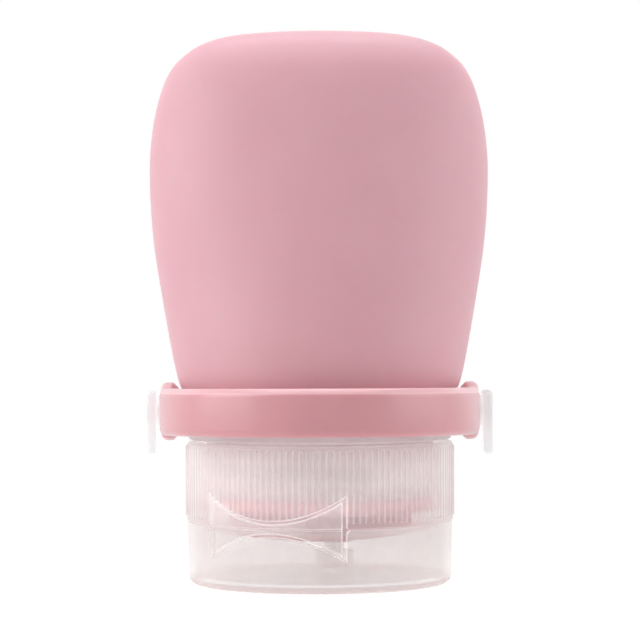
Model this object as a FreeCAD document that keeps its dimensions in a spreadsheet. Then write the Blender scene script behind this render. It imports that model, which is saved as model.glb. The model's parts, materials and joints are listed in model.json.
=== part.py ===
import FreeCAD, Part
import os
import Sketcher
from FreeCAD import Matrix, Rotation, Vector

# Travel squeeze bottle that stands upside down on its flip-top cap.
# The soft body is above, the screw cap and its lid are below, and Z is up.
# The origin is the middle of the lid's flat face, where the bottle stands.
# Azimuth is counted from the front, -Y, and a positive one goes to +X.

doc = FreeCAD.newDocument("travel_bottle")
sheet = doc.addObject("Spreadsheet::Sheet", "Sizes")

# Driving sizes in millimetres, angles in degrees and plain counts.
SIZES = [
    ("lid_inset", 0.09, "how far the lid's rim lies inside the skirt's face"),
    ("lid_draft", 0.15, "radius that the lid loses from rim to face"),
    ("lid_height", 10.1, "height of the lid's rim above its face"),
    ("lid_wall", 1.2, "wall of the lid"),
    ("lid_floor", 1.4, "thickness of the lid's face"),
    ("lid_corner", 1.5, "outer rounding between face and wall of the lid"),
    ("lid_inner_corner", 0.8, "inner rounding between face and wall of the lid"),
    ("seam_gap", 0.2, "gap between lid and skirt"),
    ("skirt_wall", 1.89, "wall of the skirt under its ribs"),
    ("skirt_height", 12.9, "height of the skirt"),
    ("skirt_corner", 0.5, "rounding of the skirt's upper edge"),
    ("rib_count", 131, "grip ribs round the skirt"),
    ("rib_height", 0.26, "how far a rib stands out"),
    ("rib_width", 0.62, "width of a rib at its foot"),
    ("rib_crest", 0.26, "width of a rib at its crest"),
    ("rib_margin", 0.7, "plain skirt left below and above the ribs"),
    ("thumb_radius", 8.0, "radius of the thumb scoop in the skirt's lower edge"),
    ("thumb_rise", 2.4, "height of the thumb scoop above the seam"),
    ("thumb_depth", 0.9, "depth of the thumb scoop"),
    ("neck_radius", 18.5, "outside radius of the threaded neck at its root"),
    ("neck_wall", 1.5, "wall of the threaded neck"),
    ("thread_pitch", 3.0, "rise of the thread in one turn"),
    ("thread_depth", 1.05, "height of a thread's crest over its root"),
    ("thread_root", 1.7, "width of a thread at its root"),
    ("thread_crest", 0.7, "width of a thread at its crest"),
    ("thread_clearance", 0.3, "gap between a crest and the facing root"),
    ("thread_flank_gap", 0.12, "gap along Z between the loaded flanks"),
    ("thread_bite", 0.3, "depth that a thread is rooted in its wall"),
    ("thread_lead", 0.3, "plain neck between its rim and its thread"),
    ("neck_turns", 1.5, "turns of thread on the neck"),
    ("cap_turns", 1.0, "turns of thread in the cap"),
    ("ledge_rise", 1.8, "height of the gasket's ledge above the seam"),
    ("ledge_width", 4.8, "width of the gasket's ledge"),
    ("deck_wall", 1.3, "thickness of the domed deck"),
    ("dome_drop", 2.3, "how far the deck bulges towards the lid"),
    ("lip_depth", 1.1, "how far the snap lip reaches into the lid"),
    ("lip_wall", 1.2, "wall of the snap lip"),
    ("lip_clearance", 0.2, "gap between the snap lip and the lid's wall"),
    ("gasket_height", 2.2, "height of the sealing ring"),
    ("gasket_width", 3.0, "width of the sealing ring"),
    ("gasket_round", 0.4, "rounding of the sealing ring"),
    ("seal_gap", 0.05, "gap above and below the sealing ring"),
    ("insert_wall", 1.2, "wall of the stiff ring inside the soft neck"),
    ("insert_flange", 1.0, "thickness of that ring's flange"),
    ("insert_flange_reach", 3.4, "how far that flange reaches past the ring"),
    ("insert_length", 13.0, "length of that ring past its flange"),
    ("fit_gap", 0.05, "gap between nested fixed pieces"),
    ("ring_gap", 0.35, "gap between the skirt and the collar's ring"),
    ("ring_inset", 0.24, "how far the collar's ring lies inside the skirt's face"),
    ("ring_height", 7.6, "height of the collar's ring"),
    ("ring_corner", 0.4, "rounding of the ring's outer edges"),
    ("mark_azimuth", 25.2, "azimuth of the ring's index ribs to either side"),
    ("mark_width", 0.5, "width of an index rib"),
    ("mark_height", 0.16, "how far an index rib stands out"),
    ("bead_height", 2.4, "height of the soft neck's holding bead"),
    ("bead_depth", 1.1, "how far that bead stands out"),
    ("bead_drop", 4.0, "middle of that bead below the shoulder"),
    ("bead_gap", 0.1, "gap between that bead and its groove"),
    ("stud_rise", 4.55, "middle of a strap stud above the ring's lower face"),
    ("stud_radius", 2.45, "radius of a strap stud"),
    ("boss_radius", 2.95, "radius of the boss that a stud stands on"),
    ("boss_length", 1.45, "how far that boss stands out of the ring"),
    ("eye_side_gap", 0.15, "gap between a strap eye and its boss"),
    ("plate_gap", 0.5, "gap between a strap eye and the stud's plate"),
    ("plate_thickness", 1.7, "thickness of a stud's plate"),
    ("plate_height", 10.3, "height of a stud's plate"),
    ("plate_width", 5.6, "width of a stud's plate"),
    ("plate_drop", 1.85, "middle of a plate below the middle of its stud"),
    ("plate_round", 0.6, "rounding of a plate's ends"),
    ("leg_length", 4.0, "straight leg between an eye and the strap's bend"),
    ("band_height", 7.55, "height of the strap's band"),
    ("band_thickness", 2.2, "thickness of the strap's band"),
    ("band_round", 0.8, "rounding of the band's edges"),
    ("eye_radius", 4.75, "outside radius of a strap eye"),
    ("eye_thickness", 2.9, "thickness of a strap eye"),
    ("eye_chamfer", 0.9, "chamfer on the inner side of a strap eye"),
    ("eye_round", 0.8, "rounding on the outer side of a strap eye"),
    ("eye_running_gap", 0.06, "running gap between a strap eye and its stud"),
    ("body_height", 59.05, "height of the soft body above the collar"),
    ("body_width", 55.4, "greatest width of the soft body"),
    ("shoulder_overhang", 0.46, "how far the soft body's shoulder stands out of the ring"),
    ("body_depth", 43.6, "depth of the soft body at its shoulder"),
    ("body_wall", 2.0, "wall of the soft body and its neck"),
    ("well_gap", 2.15, "plain deck between the valve's well and the gasket's ledge"),
    ("well_radius", 6.4, "outside radius of the valve's well"),
    ("well_wall", 1.1, "wall of the valve's well"),
    ("outlet_radius", 1.9, "radius of the outlet"),
    ("nozzle_radius", 3.0, "outside radius of the short nozzle"),
    ("nozzle_length", 0.7, "how far the nozzle stands out of the deck"),
    ("valve_flange", 0.9, "thickness of the valve's rim"),
    ("valve_crown", 1.2, "rise of the valve's crown over its rim"),
    ("valve_crown_radius", 2.9, "outside radius of the valve's crown"),
    ("valve_membrane", 0.6, "thickness of the valve's crown"),
    ("slit_length", 3.0, "length of each slit in the crown"),
    ("slit_width", 0.2, "width of each slit in the crown"),
    ("retainer_height", 1.5, "height of the ring that holds the valve"),
    ("retainer_wall", 1.8, "width of the ring that holds the valve"),
    ("plug_radius", 3.15, "radius of the lid's plug boss"),
    ("plug_height", 3.5, "height of the lid's plug boss above its floor"),
    ("pin_clearance", 0.3, "gap between the plug's pin and the outlet"),
    ("pin_reach", 0.8, "how far the pin reaches past the nozzle's tip"),
    ("pin_chamfer", 0.3, "chamfer of the pin's tip"),
    ("hinge_azimuth", -21.5, "azimuth of the flexible hinge"),
    ("hinge_half_width", 11.1, "half width of the hinge plate"),
    ("hinge_half_end", 4.35, "half height of the hinge plate at its ends"),
    ("hinge_half_waist", 0.85, "half height of the hinge plate at its waist"),
    ("hinge_plate", 1.0, "thickness of the hinge plate"),
    ("hinge_groove", 0.3, "gap along the hinge plate's curved edges"),
    ("hinge_slot", 0.65, "open slot at either end of the hinge plate"),
    ("hinge_back_gap", 0.15, "gap behind the hinge plate"),
    ("overrun", 1.0, "how far a cutting solid runs past what it cuts"),
]

# Soft body's sections from shoulder to waist: shares of its height, of its flare and of its half depth.
FLARE_SHARES = [
    (0.000, 0.000, 0.960),
    (0.020, 0.152, 1.000),
    (0.090, 0.333, 0.990),
    (0.255, 0.638, 0.925),
    (0.420, 0.895, 0.845),
    (0.585, 1.000, 0.760),
]

# Soft body's sections from waist to crown: shares of its height, of its half width and of its half depth.
CROWN_SHARES = [
    (0.700, 0.990, 0.695),
    (0.810, 0.946, 0.625),
    (0.895, 0.871, 0.548),
    (0.948, 0.755, 0.460),
    (0.974, 0.640, 0.385),
    (0.988, 0.515, 0.308),
    (0.9965, 0.320, 0.190),
    (1.000, 0.145, 0.085),
]

for row, (alias, value, meaning) in enumerate(SIZES, start=1):
    sheet.set(f"A{row}", meaning)
    sheet.set(f"B{row}", str(value))
    sheet.setAlias(f"B{row}", alias)
doc.recompute()

# Levels and radii that several pieces share, worked out from the sizes above.
seam_level = "(Sizes.lid_height + Sizes.seam_gap)"
hinge_level = "(Sizes.lid_height + Sizes.seam_gap / 2)"
skirt_top = f"({seam_level} + Sizes.skirt_height)"
ledge_level = f"({seam_level} + Sizes.ledge_rise)"
lip_level = f"({seam_level} - Sizes.lip_depth)"
flange_level = f"({ledge_level} + Sizes.gasket_height + 2 * Sizes.seal_gap)"
rim_level = f"({flange_level} + Sizes.insert_flange)"
ring_low = f"({skirt_top} + Sizes.ring_gap)"
ring_top = f"({ring_low} + Sizes.ring_height)"
stud_level = f"({ring_low} + Sizes.stud_rise)"
bead_level = f"({ring_top} - Sizes.bead_drop)"

collar_bore = "(Sizes.neck_radius - Sizes.neck_wall)"
soft_neck_radius = f"({collar_bore} - Sizes.fit_gap)"
soft_neck_bore = f"({soft_neck_radius} - Sizes.body_wall)"
insert_radius = f"({soft_neck_bore} - Sizes.fit_gap)"
neck_thread_crest = "(Sizes.neck_radius + Sizes.thread_depth)"
cap_thread_crest = "(Sizes.neck_radius + Sizes.thread_clearance)"
cap_bore = f"({cap_thread_crest} + Sizes.thread_depth)"
ledge_radius = f"({cap_bore} - Sizes.ledge_width)"
skirt_radius = f"({cap_bore} + Sizes.skirt_wall)"
lid_radius = f"({skirt_radius} - Sizes.lid_inset)"
ring_radius = f"({skirt_radius} - Sizes.ring_inset)"
lip_radius = f"({lid_radius} - Sizes.lid_wall - Sizes.lip_clearance)"
dome_radius = f"({lip_radius} - Sizes.lip_wall)"
dome_low = f"({lip_level} - Sizes.dome_drop)"
dome_curve = f"(({dome_radius} ^ 2 + Sizes.dome_drop ^ 2) / (2 * Sizes.dome_drop))"
outlet_offset = f"({ledge_radius} - Sizes.well_gap - Sizes.well_radius)"
well_bore = "(Sizes.well_radius - Sizes.well_wall)"
valve_radius = f"({well_bore} - Sizes.fit_gap)"
valve_top = f"({lip_level} + Sizes.valve_flange)"
well_top = f"({valve_top} + Sizes.retainer_height)"
nozzle_tip = f"({dome_low} - Sizes.nozzle_length)"
hinge_radius = f"({lid_radius} - Sizes.hinge_plate)"
neck_thread_start = f"({rim_level} + Sizes.thread_lead + Sizes.thread_root / 2)"
flank_slope = "((Sizes.thread_root - Sizes.thread_crest) / 2 / Sizes.thread_depth)"
flank_reach = f"({flank_slope} * (Sizes.thread_depth + Sizes.thread_clearance))"
thread_offset = f"(Sizes.thread_root - {flank_reach} + Sizes.thread_flank_gap)"
flange_radius = f"({insert_radius} + Sizes.insert_flange_reach)"
bead_radius = f"({soft_neck_radius} + Sizes.bead_depth)"
boss_end = f"({ring_radius} + Sizes.boss_length)"
eye_inner = f"({boss_end} + Sizes.eye_side_gap)"
strap_half_width = f"({eye_inner} + Sizes.eye_thickness)"
plate_inner = f"({strap_half_width} + Sizes.plate_gap)"
plate_outer = f"({plate_inner} + Sizes.plate_thickness)"
band_middle = f"({strap_half_width} - Sizes.band_thickness / 2)"


def dome_under(radius):
    """Level of the deck's underside at a radius."""
    return f"({dome_low} + {dome_curve} - sqrt({dome_curve} ^ 2 - {radius} ^ 2))"


def number(expression):
    """Value of an expression in the sheet's sizes."""
    return float(sheet.evalExpression(expression))


def new_body(name, azimuth=None):
    """A body, turned about the bottle's axis where an azimuth is given."""
    body = doc.addObject("PartDesign::Body", name)
    if azimuth:
        body.Placement.Rotation = Rotation(Vector(0, 0, 1), number(azimuth))
        body.setExpression("Placement.Rotation.Angle", f"{azimuth} * 1 deg")
    return body


def origin_plane(body, role):
    """One of a body's own origin planes."""
    return next(item for item in body.Origin.OriginFeatures if item.Role == role)


def add_sketch(body, role, name, along="0", lift="0", turn=None):
    """A sketch on an origin plane, moved along its normal and its own Y, or turned in the plane."""
    sketch = body.newObject("Sketcher::SketchObject", name)
    sketch.AttachmentSupport = [(origin_plane(body, role), "")]
    sketch.MapMode = "FlatFace"
    sketch.setExpression("AttachmentOffset.Base.z", along)
    sketch.setExpression("AttachmentOffset.Base.y", lift)
    if turn:
        sketch.AttachmentOffset.Rotation = Rotation(Vector(0, 0, 1), number(turn))
        sketch.setExpression("AttachmentOffset.Rotation.Angle", f"{turn} * 1 deg")
    return sketch


def pin_point(sketch, item, end, across, up):
    """Tie a point of a sketch to two expressions, counted from the sketch's origin."""
    for kind, axis, expression in (("DistanceX", -2, across), ("DistanceY", -1, up)):
        if expression == "0":
            sketch.addConstraint(Sketcher.Constraint("PointOnObject", item, end, axis))
            continue
        value = number(expression)
        index = sketch.addConstraint(Sketcher.Constraint(kind, -1, 1, item, end, value))
        sketch.setExpression(f"Constraints[{index}]", expression)


def arc_between(start, end, radius, turn):
    """The shorter arc of a radius from start to end, turning left or right."""
    half = (end - start) / 2
    height = max(radius ** 2 - half.Length ** 2, 0) ** 0.5
    side = Vector(-half.y, half.x, 0).normalize()
    if turn == "right":
        side = -side
    centre = start + half + side * height
    middle = centre - side * radius
    return Part.Arc(start, middle, end)


def outline(sketch, corners, closed=True):
    """Join corners by lines, or by an arc after a corner that gives a radius and a turn."""
    places = [Vector(number(corner[0]), number(corner[1]), 0) for corner in corners]
    count = len(corners)
    ends = []
    for index in range(count if closed else count - 1):
        start = places[index]
        end = places[(index + 1) % count]
        corner = corners[index]
        if len(corner) == 2:
            sketch.addGeometry(Part.LineSegment(start, end))
            ends.append((1, 2))
            continue
        radius, turn = corner[2:]
        sketch.addGeometry(arc_between(start, end, number(radius), turn))
        ends.append((1, 2) if turn == "left" else (2, 1))
    for index, (first, last) in enumerate(ends):
        following = (index + 1) % count
        if following < len(ends):
            meeting = ends[following][0]
            sketch.addConstraint(Sketcher.Constraint("Coincident", index, last, following, meeting))
    for index, corner in enumerate(corners):
        item, end = (index, ends[index][0]) if index < len(ends) else (index - 1, ends[index - 1][1])
        pin_point(sketch, item, end, corner[0], corner[1])
    for index in range(len(ends)):
        if len(corners[index]) > 2:
            radius = corners[index][2]
            tie = sketch.addConstraint(Sketcher.Constraint("Radius", index, number(radius)))
            sketch.setExpression(f"Constraints[{tie}]", radius)
    return sketch


def box_corners(left, low, right, high):
    """Corners of an upright rectangle."""
    return [(left, low), (right, low), (right, high), (left, high)]


def rounded_box_corners(left, low, right, high, radius):
    """Corners of an upright rectangle whose four corners are rounded."""
    return [
        (f"{left} + {radius}", low),
        (f"{right} - {radius}", low, radius, "left"),
        (right, f"{low} + {radius}"),
        (right, f"{high} - {radius}", radius, "left"),
        (f"{right} - {radius}", high),
        (f"{left} + {radius}", high, radius, "left"),
        (left, f"{high} - {radius}"),
        (left, f"{low} + {radius}", radius, "left"),
    ]


def circle(sketch, across, up, radius):
    """A circle tied to three expressions."""
    centre = Vector(number(across), number(up), 0)
    sketch.addGeometry(Part.Circle(centre, Vector(0, 0, 1), number(radius)))
    pin_point(sketch, 0, 3, across, up)
    tie = sketch.addConstraint(Sketcher.Constraint("Radius", 0, number(radius)))
    sketch.setExpression(f"Constraints[{tie}]", radius)
    return sketch


def revolve(body, sketch, name, axis="V_Axis", kind="PartDesign::Revolution"):
    """Turn a sketch once round one of its own axes."""
    doc.recompute()
    feature = body.newObject(kind, name)
    feature.Profile = sketch
    feature.ReferenceAxis = (sketch, [axis])
    doc.recompute()
    return feature


def pad(body, sketch, name, length, midplane=False):
    """Raise a sketch by a length along its normal, or half of it to either side."""
    feature = body.newObject("PartDesign::Pad", name)
    feature.Profile = sketch
    feature.setExpression("Length", length)
    feature.Midplane = midplane
    doc.recompute()
    return feature


def pocket(body, sketch, name, length, towards_normal=False, midplane=False):
    """Cut a sketch into its body, and make sure that something was cut."""
    doc.recompute()
    before = body.Shape.Volume
    feature = body.newObject("PartDesign::Pocket", name)
    feature.Profile = sketch
    feature.setExpression("Length", length)
    feature.Reversed = towards_normal
    feature.Midplane = midplane
    doc.recompute()
    if not body.Shape.Volume < before:
        raise RuntimeError(f"{name} cuts nothing")
    return feature


def repeat_round(body, features, name, count):
    """Repeat features evenly round the body's Z axis."""
    pattern = body.newObject("PartDesign::PolarPattern", name)
    pattern.Originals = features
    pattern.Axis = (next(item for item in body.Origin.OriginFeatures if item.Role == "Z_Axis"), [""])
    pattern.Angle = 360
    pattern.setExpression("Occurrences", count)
    body.Tip = pattern
    doc.recompute()
    return pattern


def mirror_sideways(body, features, name):
    """Repeat features on the other side of the body's YZ plane."""
    mirror = body.newObject("PartDesign::Mirrored", name)
    mirror.Originals = features
    mirror.MirrorPlane = (origin_plane(body, "YZ_Plane"), [""])
    body.Tip = mirror
    doc.recompute()
    return mirror


def dress_edges(body, kind, name, size_name, size, wanted):
    """Round or chamfer the edges of the body's last feature that the test picks."""
    base = body.Tip
    names = [f"Edge{index}" for index, edge in enumerate(base.Shape.Edges, start=1) if wanted(edge)]
    if not names:
        raise RuntimeError(f"{name} finds no edge")
    feature = body.newObject(kind, name)
    feature.Base = (base, names)
    feature.setExpression(size_name, size)
    doc.recompute()


def ring_edge(level, radius):
    """A test for the full circle at a level with a radius."""
    height = number(level)
    size = number(radius)
    tolerance = 1e-4

    def wanted(edge):
        if edge.Degenerated or not isinstance(edge.Curve, Part.Circle):
            return False
        curve = edge.Curve
        return abs(curve.Center.z - height) < tolerance and abs(curve.Radius - size) < tolerance

    return wanted


def boolean(kind, name, base, tool):
    """A Part boolean of two objects, which has to change the first one."""
    result = doc.addObject(kind, name)
    result.Base = base
    result.Tool = tool
    doc.recompute()
    if result.Shape.Volume == base.Shape.Volume:
        raise RuntimeError(f"{name} changes nothing")
    return result


def add_thread(body, name, wall, root, crest, start, turns):
    """A trapezium wound up the body's axis, rooted in its wall."""
    sketch = add_sketch(body, "XZ_Plane", f"{name}_section")
    half_root = "Sizes.thread_root / 2"
    half_crest = "Sizes.thread_crest / 2"
    outline(sketch, [
        (wall, f"{start} - {half_root}"),
        (root, f"{start} - {half_root}"),
        (crest, f"{start} - {half_crest}"),
        (crest, f"{start} + {half_crest}"),
        (root, f"{start} + {half_root}"),
        (wall, f"{start} + {half_root}"),
    ])
    doc.recompute()
    helix = body.newObject("PartDesign::AdditiveHelix", name)
    helix.Profile = sketch
    helix.ReferenceAxis = (sketch, ["V_Axis"])
    helix.Mode = "pitch-turns-angle"
    helix.setExpression("Pitch", "Sizes.thread_pitch")
    helix.setExpression("Turns", turns)
    doc.recompute()


def hinge_prism(name, groove, slot):
    """The hinge plate's bow-tie outline, grown by its gaps and run through the cap's front wall."""
    body = new_body(name, "Sizes.hinge_azimuth")
    front = f"({skirt_radius} + Sizes.rib_height + Sizes.overrun)"
    half_width = f"(Sizes.hinge_half_width + {slot})"
    sag = "(Sizes.hinge_half_end - Sizes.hinge_half_waist)"
    plate_curve = f"((Sizes.hinge_half_width ^ 2 + {sag} ^ 2) / (2 * {sag}))"
    curve = f"({plate_curve} - {groove})"
    half_end = f"(Sizes.hinge_half_waist + {plate_curve} - sqrt({curve} ^ 2 - {half_width} ^ 2))"
    low = f"{hinge_level} - {half_end}"
    high = f"{hinge_level} + {half_end}"
    sketch = add_sketch(body, "XZ_Plane", f"{name}_outline", along=front)
    outline(sketch, [
        (f"-{half_width}", low, curve, "right"),
        (half_width, low),
        (half_width, high, curve, "right"),
        (f"-{half_width}", high),
    ])
    pad(body, sketch, f"{name}_pad", front).Reversed = True
    doc.recompute()
    return body


def wall_tube(name, inner, outer):
    """A tube round the cap's axis, as tall as lid and skirt together."""
    tubes = []
    for side, radius in (("outside", outer), ("inside", inner)):
        tube = doc.addObject("Part::Cylinder", f"{name}_{side}")
        tube.setExpression("Radius", radius)
        tube.setExpression("Height", skirt_top)
        tubes.append(tube)
    return boolean("Part::Cut", name, *tubes)


def make_hinge_pieces():
    """The bow-tie hinge plate, and the two solids that clear its place in lid and skirt."""
    past_ribs = f"{skirt_radius} + Sizes.rib_height + Sizes.overrun"
    plate = hinge_prism("hinge_outline", "0", "0")
    plate_wall = wall_tube("hinge_wall", hinge_radius, lid_radius)
    window = hinge_prism("window_outline", "Sizes.hinge_groove", "Sizes.hinge_slot")
    through_wall = wall_tube("window_wall", f"{lip_radius} - Sizes.overrun", past_ribs)
    part_wall = wall_tube("recess_wall", f"{hinge_radius} - Sizes.hinge_back_gap", past_ribs)
    return (
        boolean("Part::Common", "hinge_butterfly", plate, plate_wall),
        boolean("Part::Common", "lid_window", window, through_wall),
        boolean("Part::Common", "skirt_recess", window, part_wall),
    )


def make_flip_lid(window):
    """Shallow cup with a flat face, a plug for the outlet and a window for the hinge."""
    body = new_body("lid_form", "Sizes.hinge_azimuth")
    inner = f"({lid_radius} - Sizes.lid_wall)"
    profile = add_sketch(body, "XZ_Plane", "lid_profile")
    outline(profile, [
        ("0", "0"),
        (f"{lid_radius} - Sizes.lid_draft", "0"),
        (lid_radius, "Sizes.lid_height"),
        (inner, "Sizes.lid_height"),
        (f"{inner} - Sizes.lid_draft", "Sizes.lid_floor"),
        ("0", "Sizes.lid_floor"),
    ])
    revolve(body, profile, "lid_cup")
    face_edge = ring_edge("0", f"{lid_radius} - Sizes.lid_draft")
    dress_edges(body, "PartDesign::Fillet", "lid_face_rounding", "Radius", "Sizes.lid_corner", face_edge)
    floor_edge = ring_edge("Sizes.lid_floor", f"{inner} - Sizes.lid_draft")
    floor_size = "Sizes.lid_inner_corner"
    dress_edges(body, "PartDesign::Fillet", "lid_floor_rounding", "Radius", floor_size, floor_edge)

    boss_top = "(Sizes.lid_floor + Sizes.plug_height)"
    boss = add_sketch(body, "XY_Plane", "plug_circle", along="Sizes.lid_floor / 2")
    circle(boss, "0", outlet_offset, "Sizes.plug_radius")
    pad(body, boss, "plug_boss", f"{boss_top} - Sizes.lid_floor / 2")
    pin_radius = "Sizes.outlet_radius - Sizes.pin_clearance"
    pin_top = f"({nozzle_tip} + Sizes.pin_reach)"
    pin = add_sketch(body, "XY_Plane", "pin_circle", along=boss_top)
    circle(pin, "0", outlet_offset, pin_radius)
    pad(body, pin, "plug_pin", f"{pin_top} - {boss_top}")
    tip_edge = ring_edge(pin_top, pin_radius)
    dress_edges(body, "PartDesign::Chamfer", "pin_tip", "Size", "Sizes.pin_chamfer", tip_edge)
    return boolean("Part::Cut", "flip_lid", body, window)


def add_skirt_grip(body):
    """Upright ribs all round the skirt, and a thumb scoop opposite the hinge."""
    foot = f"({skirt_radius} - Sizes.rib_height)"
    crest = f"({skirt_radius} + Sizes.rib_height)"
    section = add_sketch(body, "XY_Plane", "rib_section", along=f"{seam_level} + Sizes.rib_margin")
    outline(section, [
        ("-Sizes.rib_width / 2", f"-{foot}"),
        ("-Sizes.rib_crest / 2", f"-{crest}"),
        ("Sizes.rib_crest / 2", f"-{crest}"),
        ("Sizes.rib_width / 2", f"-{foot}"),
    ])
    rib = pad(body, section, "rib", "Sizes.skirt_height - 2 * Sizes.rib_margin")
    repeat_round(body, [rib], "ribs", "Sizes.rib_count")

    scoop_middle = f"{seam_level} + Sizes.thumb_rise - Sizes.thumb_radius"
    scoop = add_sketch(body, "XZ_Plane", "thumb_circle", along=f"Sizes.thumb_depth - {skirt_radius}")
    circle(scoop, "0", scoop_middle, "Sizes.thumb_radius")
    pocket(body, scoop, "thumb_scoop", "Sizes.thumb_depth + Sizes.rib_height + Sizes.overrun")


def add_outlet(body):
    """Valve well on the deck, short nozzle under it and the outlet through both."""
    well_foot = f"({dome_low} + Sizes.deck_wall / 2)"
    boss = add_sketch(body, "XZ_Plane", "outlet_boss_profile", along=f"-{outlet_offset}")
    outline(boss, [
        ("0", nozzle_tip),
        ("Sizes.nozzle_radius", nozzle_tip),
        ("Sizes.nozzle_radius", well_foot),
        ("Sizes.well_radius", well_foot),
        ("Sizes.well_radius", well_top),
        ("0", well_top),
    ])
    revolve(body, boss, "outlet_boss")
    bore = add_sketch(body, "XZ_Plane", "outlet_bore_profile", along=f"-{outlet_offset}")
    outline(bore, [
        ("0", f"{nozzle_tip} - Sizes.overrun"),
        ("Sizes.outlet_radius", f"{nozzle_tip} - Sizes.overrun"),
        ("Sizes.outlet_radius", lip_level),
        (well_bore, lip_level),
        (well_bore, f"{well_top} + Sizes.overrun"),
        ("0", f"{well_top} + Sizes.overrun"),
    ])
    revolve(body, bore, "outlet_bore", kind="PartDesign::Groove")


def make_cap_base(recess):
    """Ribbed skirt with a domed deck, a gasket ledge, a snap lip, an outlet and a thread."""
    body = new_body("cap_form", "Sizes.hinge_azimuth")
    profile = add_sketch(body, "XZ_Plane", "cap_profile")
    outline(profile, [
        ("0", dome_low, dome_curve, "left"),
        (dome_radius, lip_level),
        (lip_radius, lip_level),
        (lip_radius, seam_level),
        (skirt_radius, seam_level),
        (skirt_radius, skirt_top),
        (cap_bore, skirt_top),
        (cap_bore, ledge_level),
        (ledge_radius, ledge_level),
        (ledge_radius, f"{dome_under(ledge_radius)} + Sizes.deck_wall", dome_curve, "right"),
        ("0", f"{dome_low} + Sizes.deck_wall"),
    ])
    revolve(body, profile, "cap_shell")
    top_edge = ring_edge(skirt_top, skirt_radius)
    dress_edges(body, "PartDesign::Fillet", "skirt_rounding", "Radius", "Sizes.skirt_corner", top_edge)
    turned = "Sizes.thread_pitch * Sizes.hinge_azimuth / 360"
    start = f"({neck_thread_start} + {thread_offset} + {turned})"
    wall = f"{cap_bore} + Sizes.thread_bite"
    add_thread(body, "cap_thread", wall, cap_bore, cap_thread_crest, start, "Sizes.cap_turns")
    add_outlet(body)
    add_skirt_grip(body)
    return boolean("Part::Cut", "cap_base", body, recess)


def make_drip_valve():
    """Soft disc with a crossed slit in its crown, which opens when the bottle is squeezed."""
    body = new_body("drip_valve", "Sizes.hinge_azimuth")
    profile = add_sketch(body, "XZ_Plane", "valve_profile", along=f"-{outlet_offset}")
    crown_top = f"({valve_top} + Sizes.valve_crown)"
    crown_curve = "((Sizes.valve_crown_radius ^ 2 + Sizes.valve_crown ^ 2) / (2 * Sizes.valve_crown))"
    inner_radius = "(Sizes.valve_crown_radius - Sizes.valve_membrane)"
    inner_rise = f"({crown_top} - Sizes.valve_membrane - {lip_level})"
    inner_curve = f"(({inner_radius} ^ 2 + {inner_rise} ^ 2) / (2 * {inner_rise}))"
    outline(profile, [
        (inner_radius, lip_level),
        (valve_radius, lip_level),
        (valve_radius, valve_top),
        ("Sizes.valve_crown_radius", valve_top, crown_curve, "left"),
        ("0", crown_top),
        ("0", f"{crown_top} - Sizes.valve_membrane", inner_curve, "right"),
    ])
    revolve(body, profile, "valve_disc")
    for name, length, width in (
        ("slit_across", "Sizes.slit_length", "Sizes.slit_width"),
        ("slit_along", "Sizes.slit_width", "Sizes.slit_length"),
    ):
        slit = add_sketch(body, "XY_Plane", f"{name}_outline", along=f"{crown_top} + Sizes.overrun")
        middle = outlet_offset
        low = f"{middle} - {width} / 2"
        high = f"{middle} + {width} / 2"
        outline(slit, box_corners(f"-{length} / 2", low, f"{length} / 2", high))
        pocket(body, slit, name, f"{crown_top} - {lip_level} + 2 * Sizes.overrun")
    return body


def make_ring(name, corners, azimuth=None, along="0"):
    """A piece turned from one outline."""
    body = new_body(name, azimuth)
    profile = add_sketch(body, "XZ_Plane", f"{name}_profile", along=along)
    outline(profile, corners)
    revolve(body, profile, f"{name}_turned")
    return body


def make_valve_retainer():
    """Ring pressed into the well over the valve's rim."""
    corners = box_corners(f"{valve_radius} - Sizes.retainer_wall", valve_top, valve_radius, well_top)
    return make_ring("valve_retainer", corners, "Sizes.hinge_azimuth", f"-{outlet_offset}")


def make_cap_gasket():
    """Soft ring between the cap's ledge and the neck."""
    low = f"({ledge_level} + Sizes.seal_gap)"
    high = f"({low} + Sizes.gasket_height)"
    inner = f"({flange_radius} - Sizes.gasket_width)"
    corners = rounded_box_corners(inner, low, flange_radius, high, "Sizes.gasket_round")
    return make_ring("cap_gasket", corners)


def make_neck_insert():
    """Stiff ring that spreads the soft neck into the collar."""
    bore = f"({insert_radius} - Sizes.insert_wall)"
    end = f"({rim_level} + Sizes.insert_length)"
    return make_ring("neck_insert", [
        (bore, flange_level),
        (flange_radius, flange_level),
        (flange_radius, rim_level),
        (insert_radius, rim_level),
        (insert_radius, end),
        (bore, end),
    ])


def add_studs(body):
    """A boss, a stud and an upright plate on either side, which hold the strap's eyes."""
    foot = f"({ring_radius} - Sizes.neck_wall)"
    boss = add_sketch(body, "YZ_Plane", "boss_circle", along=foot)
    circle(boss, "0", stud_level, "Sizes.boss_radius")
    boss_pad = pad(body, boss, "stud_boss", f"{boss_end} - {foot}")
    stud = add_sketch(body, "YZ_Plane", "stud_circle", along=foot)
    circle(stud, "0", stud_level, "Sizes.stud_radius")
    stud_pad = pad(body, stud, "stud", f"{plate_inner} + Sizes.plate_thickness / 2 - {foot}")
    plate = add_sketch(body, "XZ_Plane", "plate_outline")
    low = f"({stud_level} - Sizes.plate_drop - Sizes.plate_height / 2)"
    high = f"({low} + Sizes.plate_height)"
    outline(plate, rounded_box_corners(plate_inner, low, plate_outer, high, "Sizes.plate_round"))
    plate_pad = pad(body, plate, "stud_plate", "Sizes.plate_width", midplane=True)
    mirror_sideways(body, [boss_pad, stud_pad, plate_pad], "far_stud")


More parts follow.
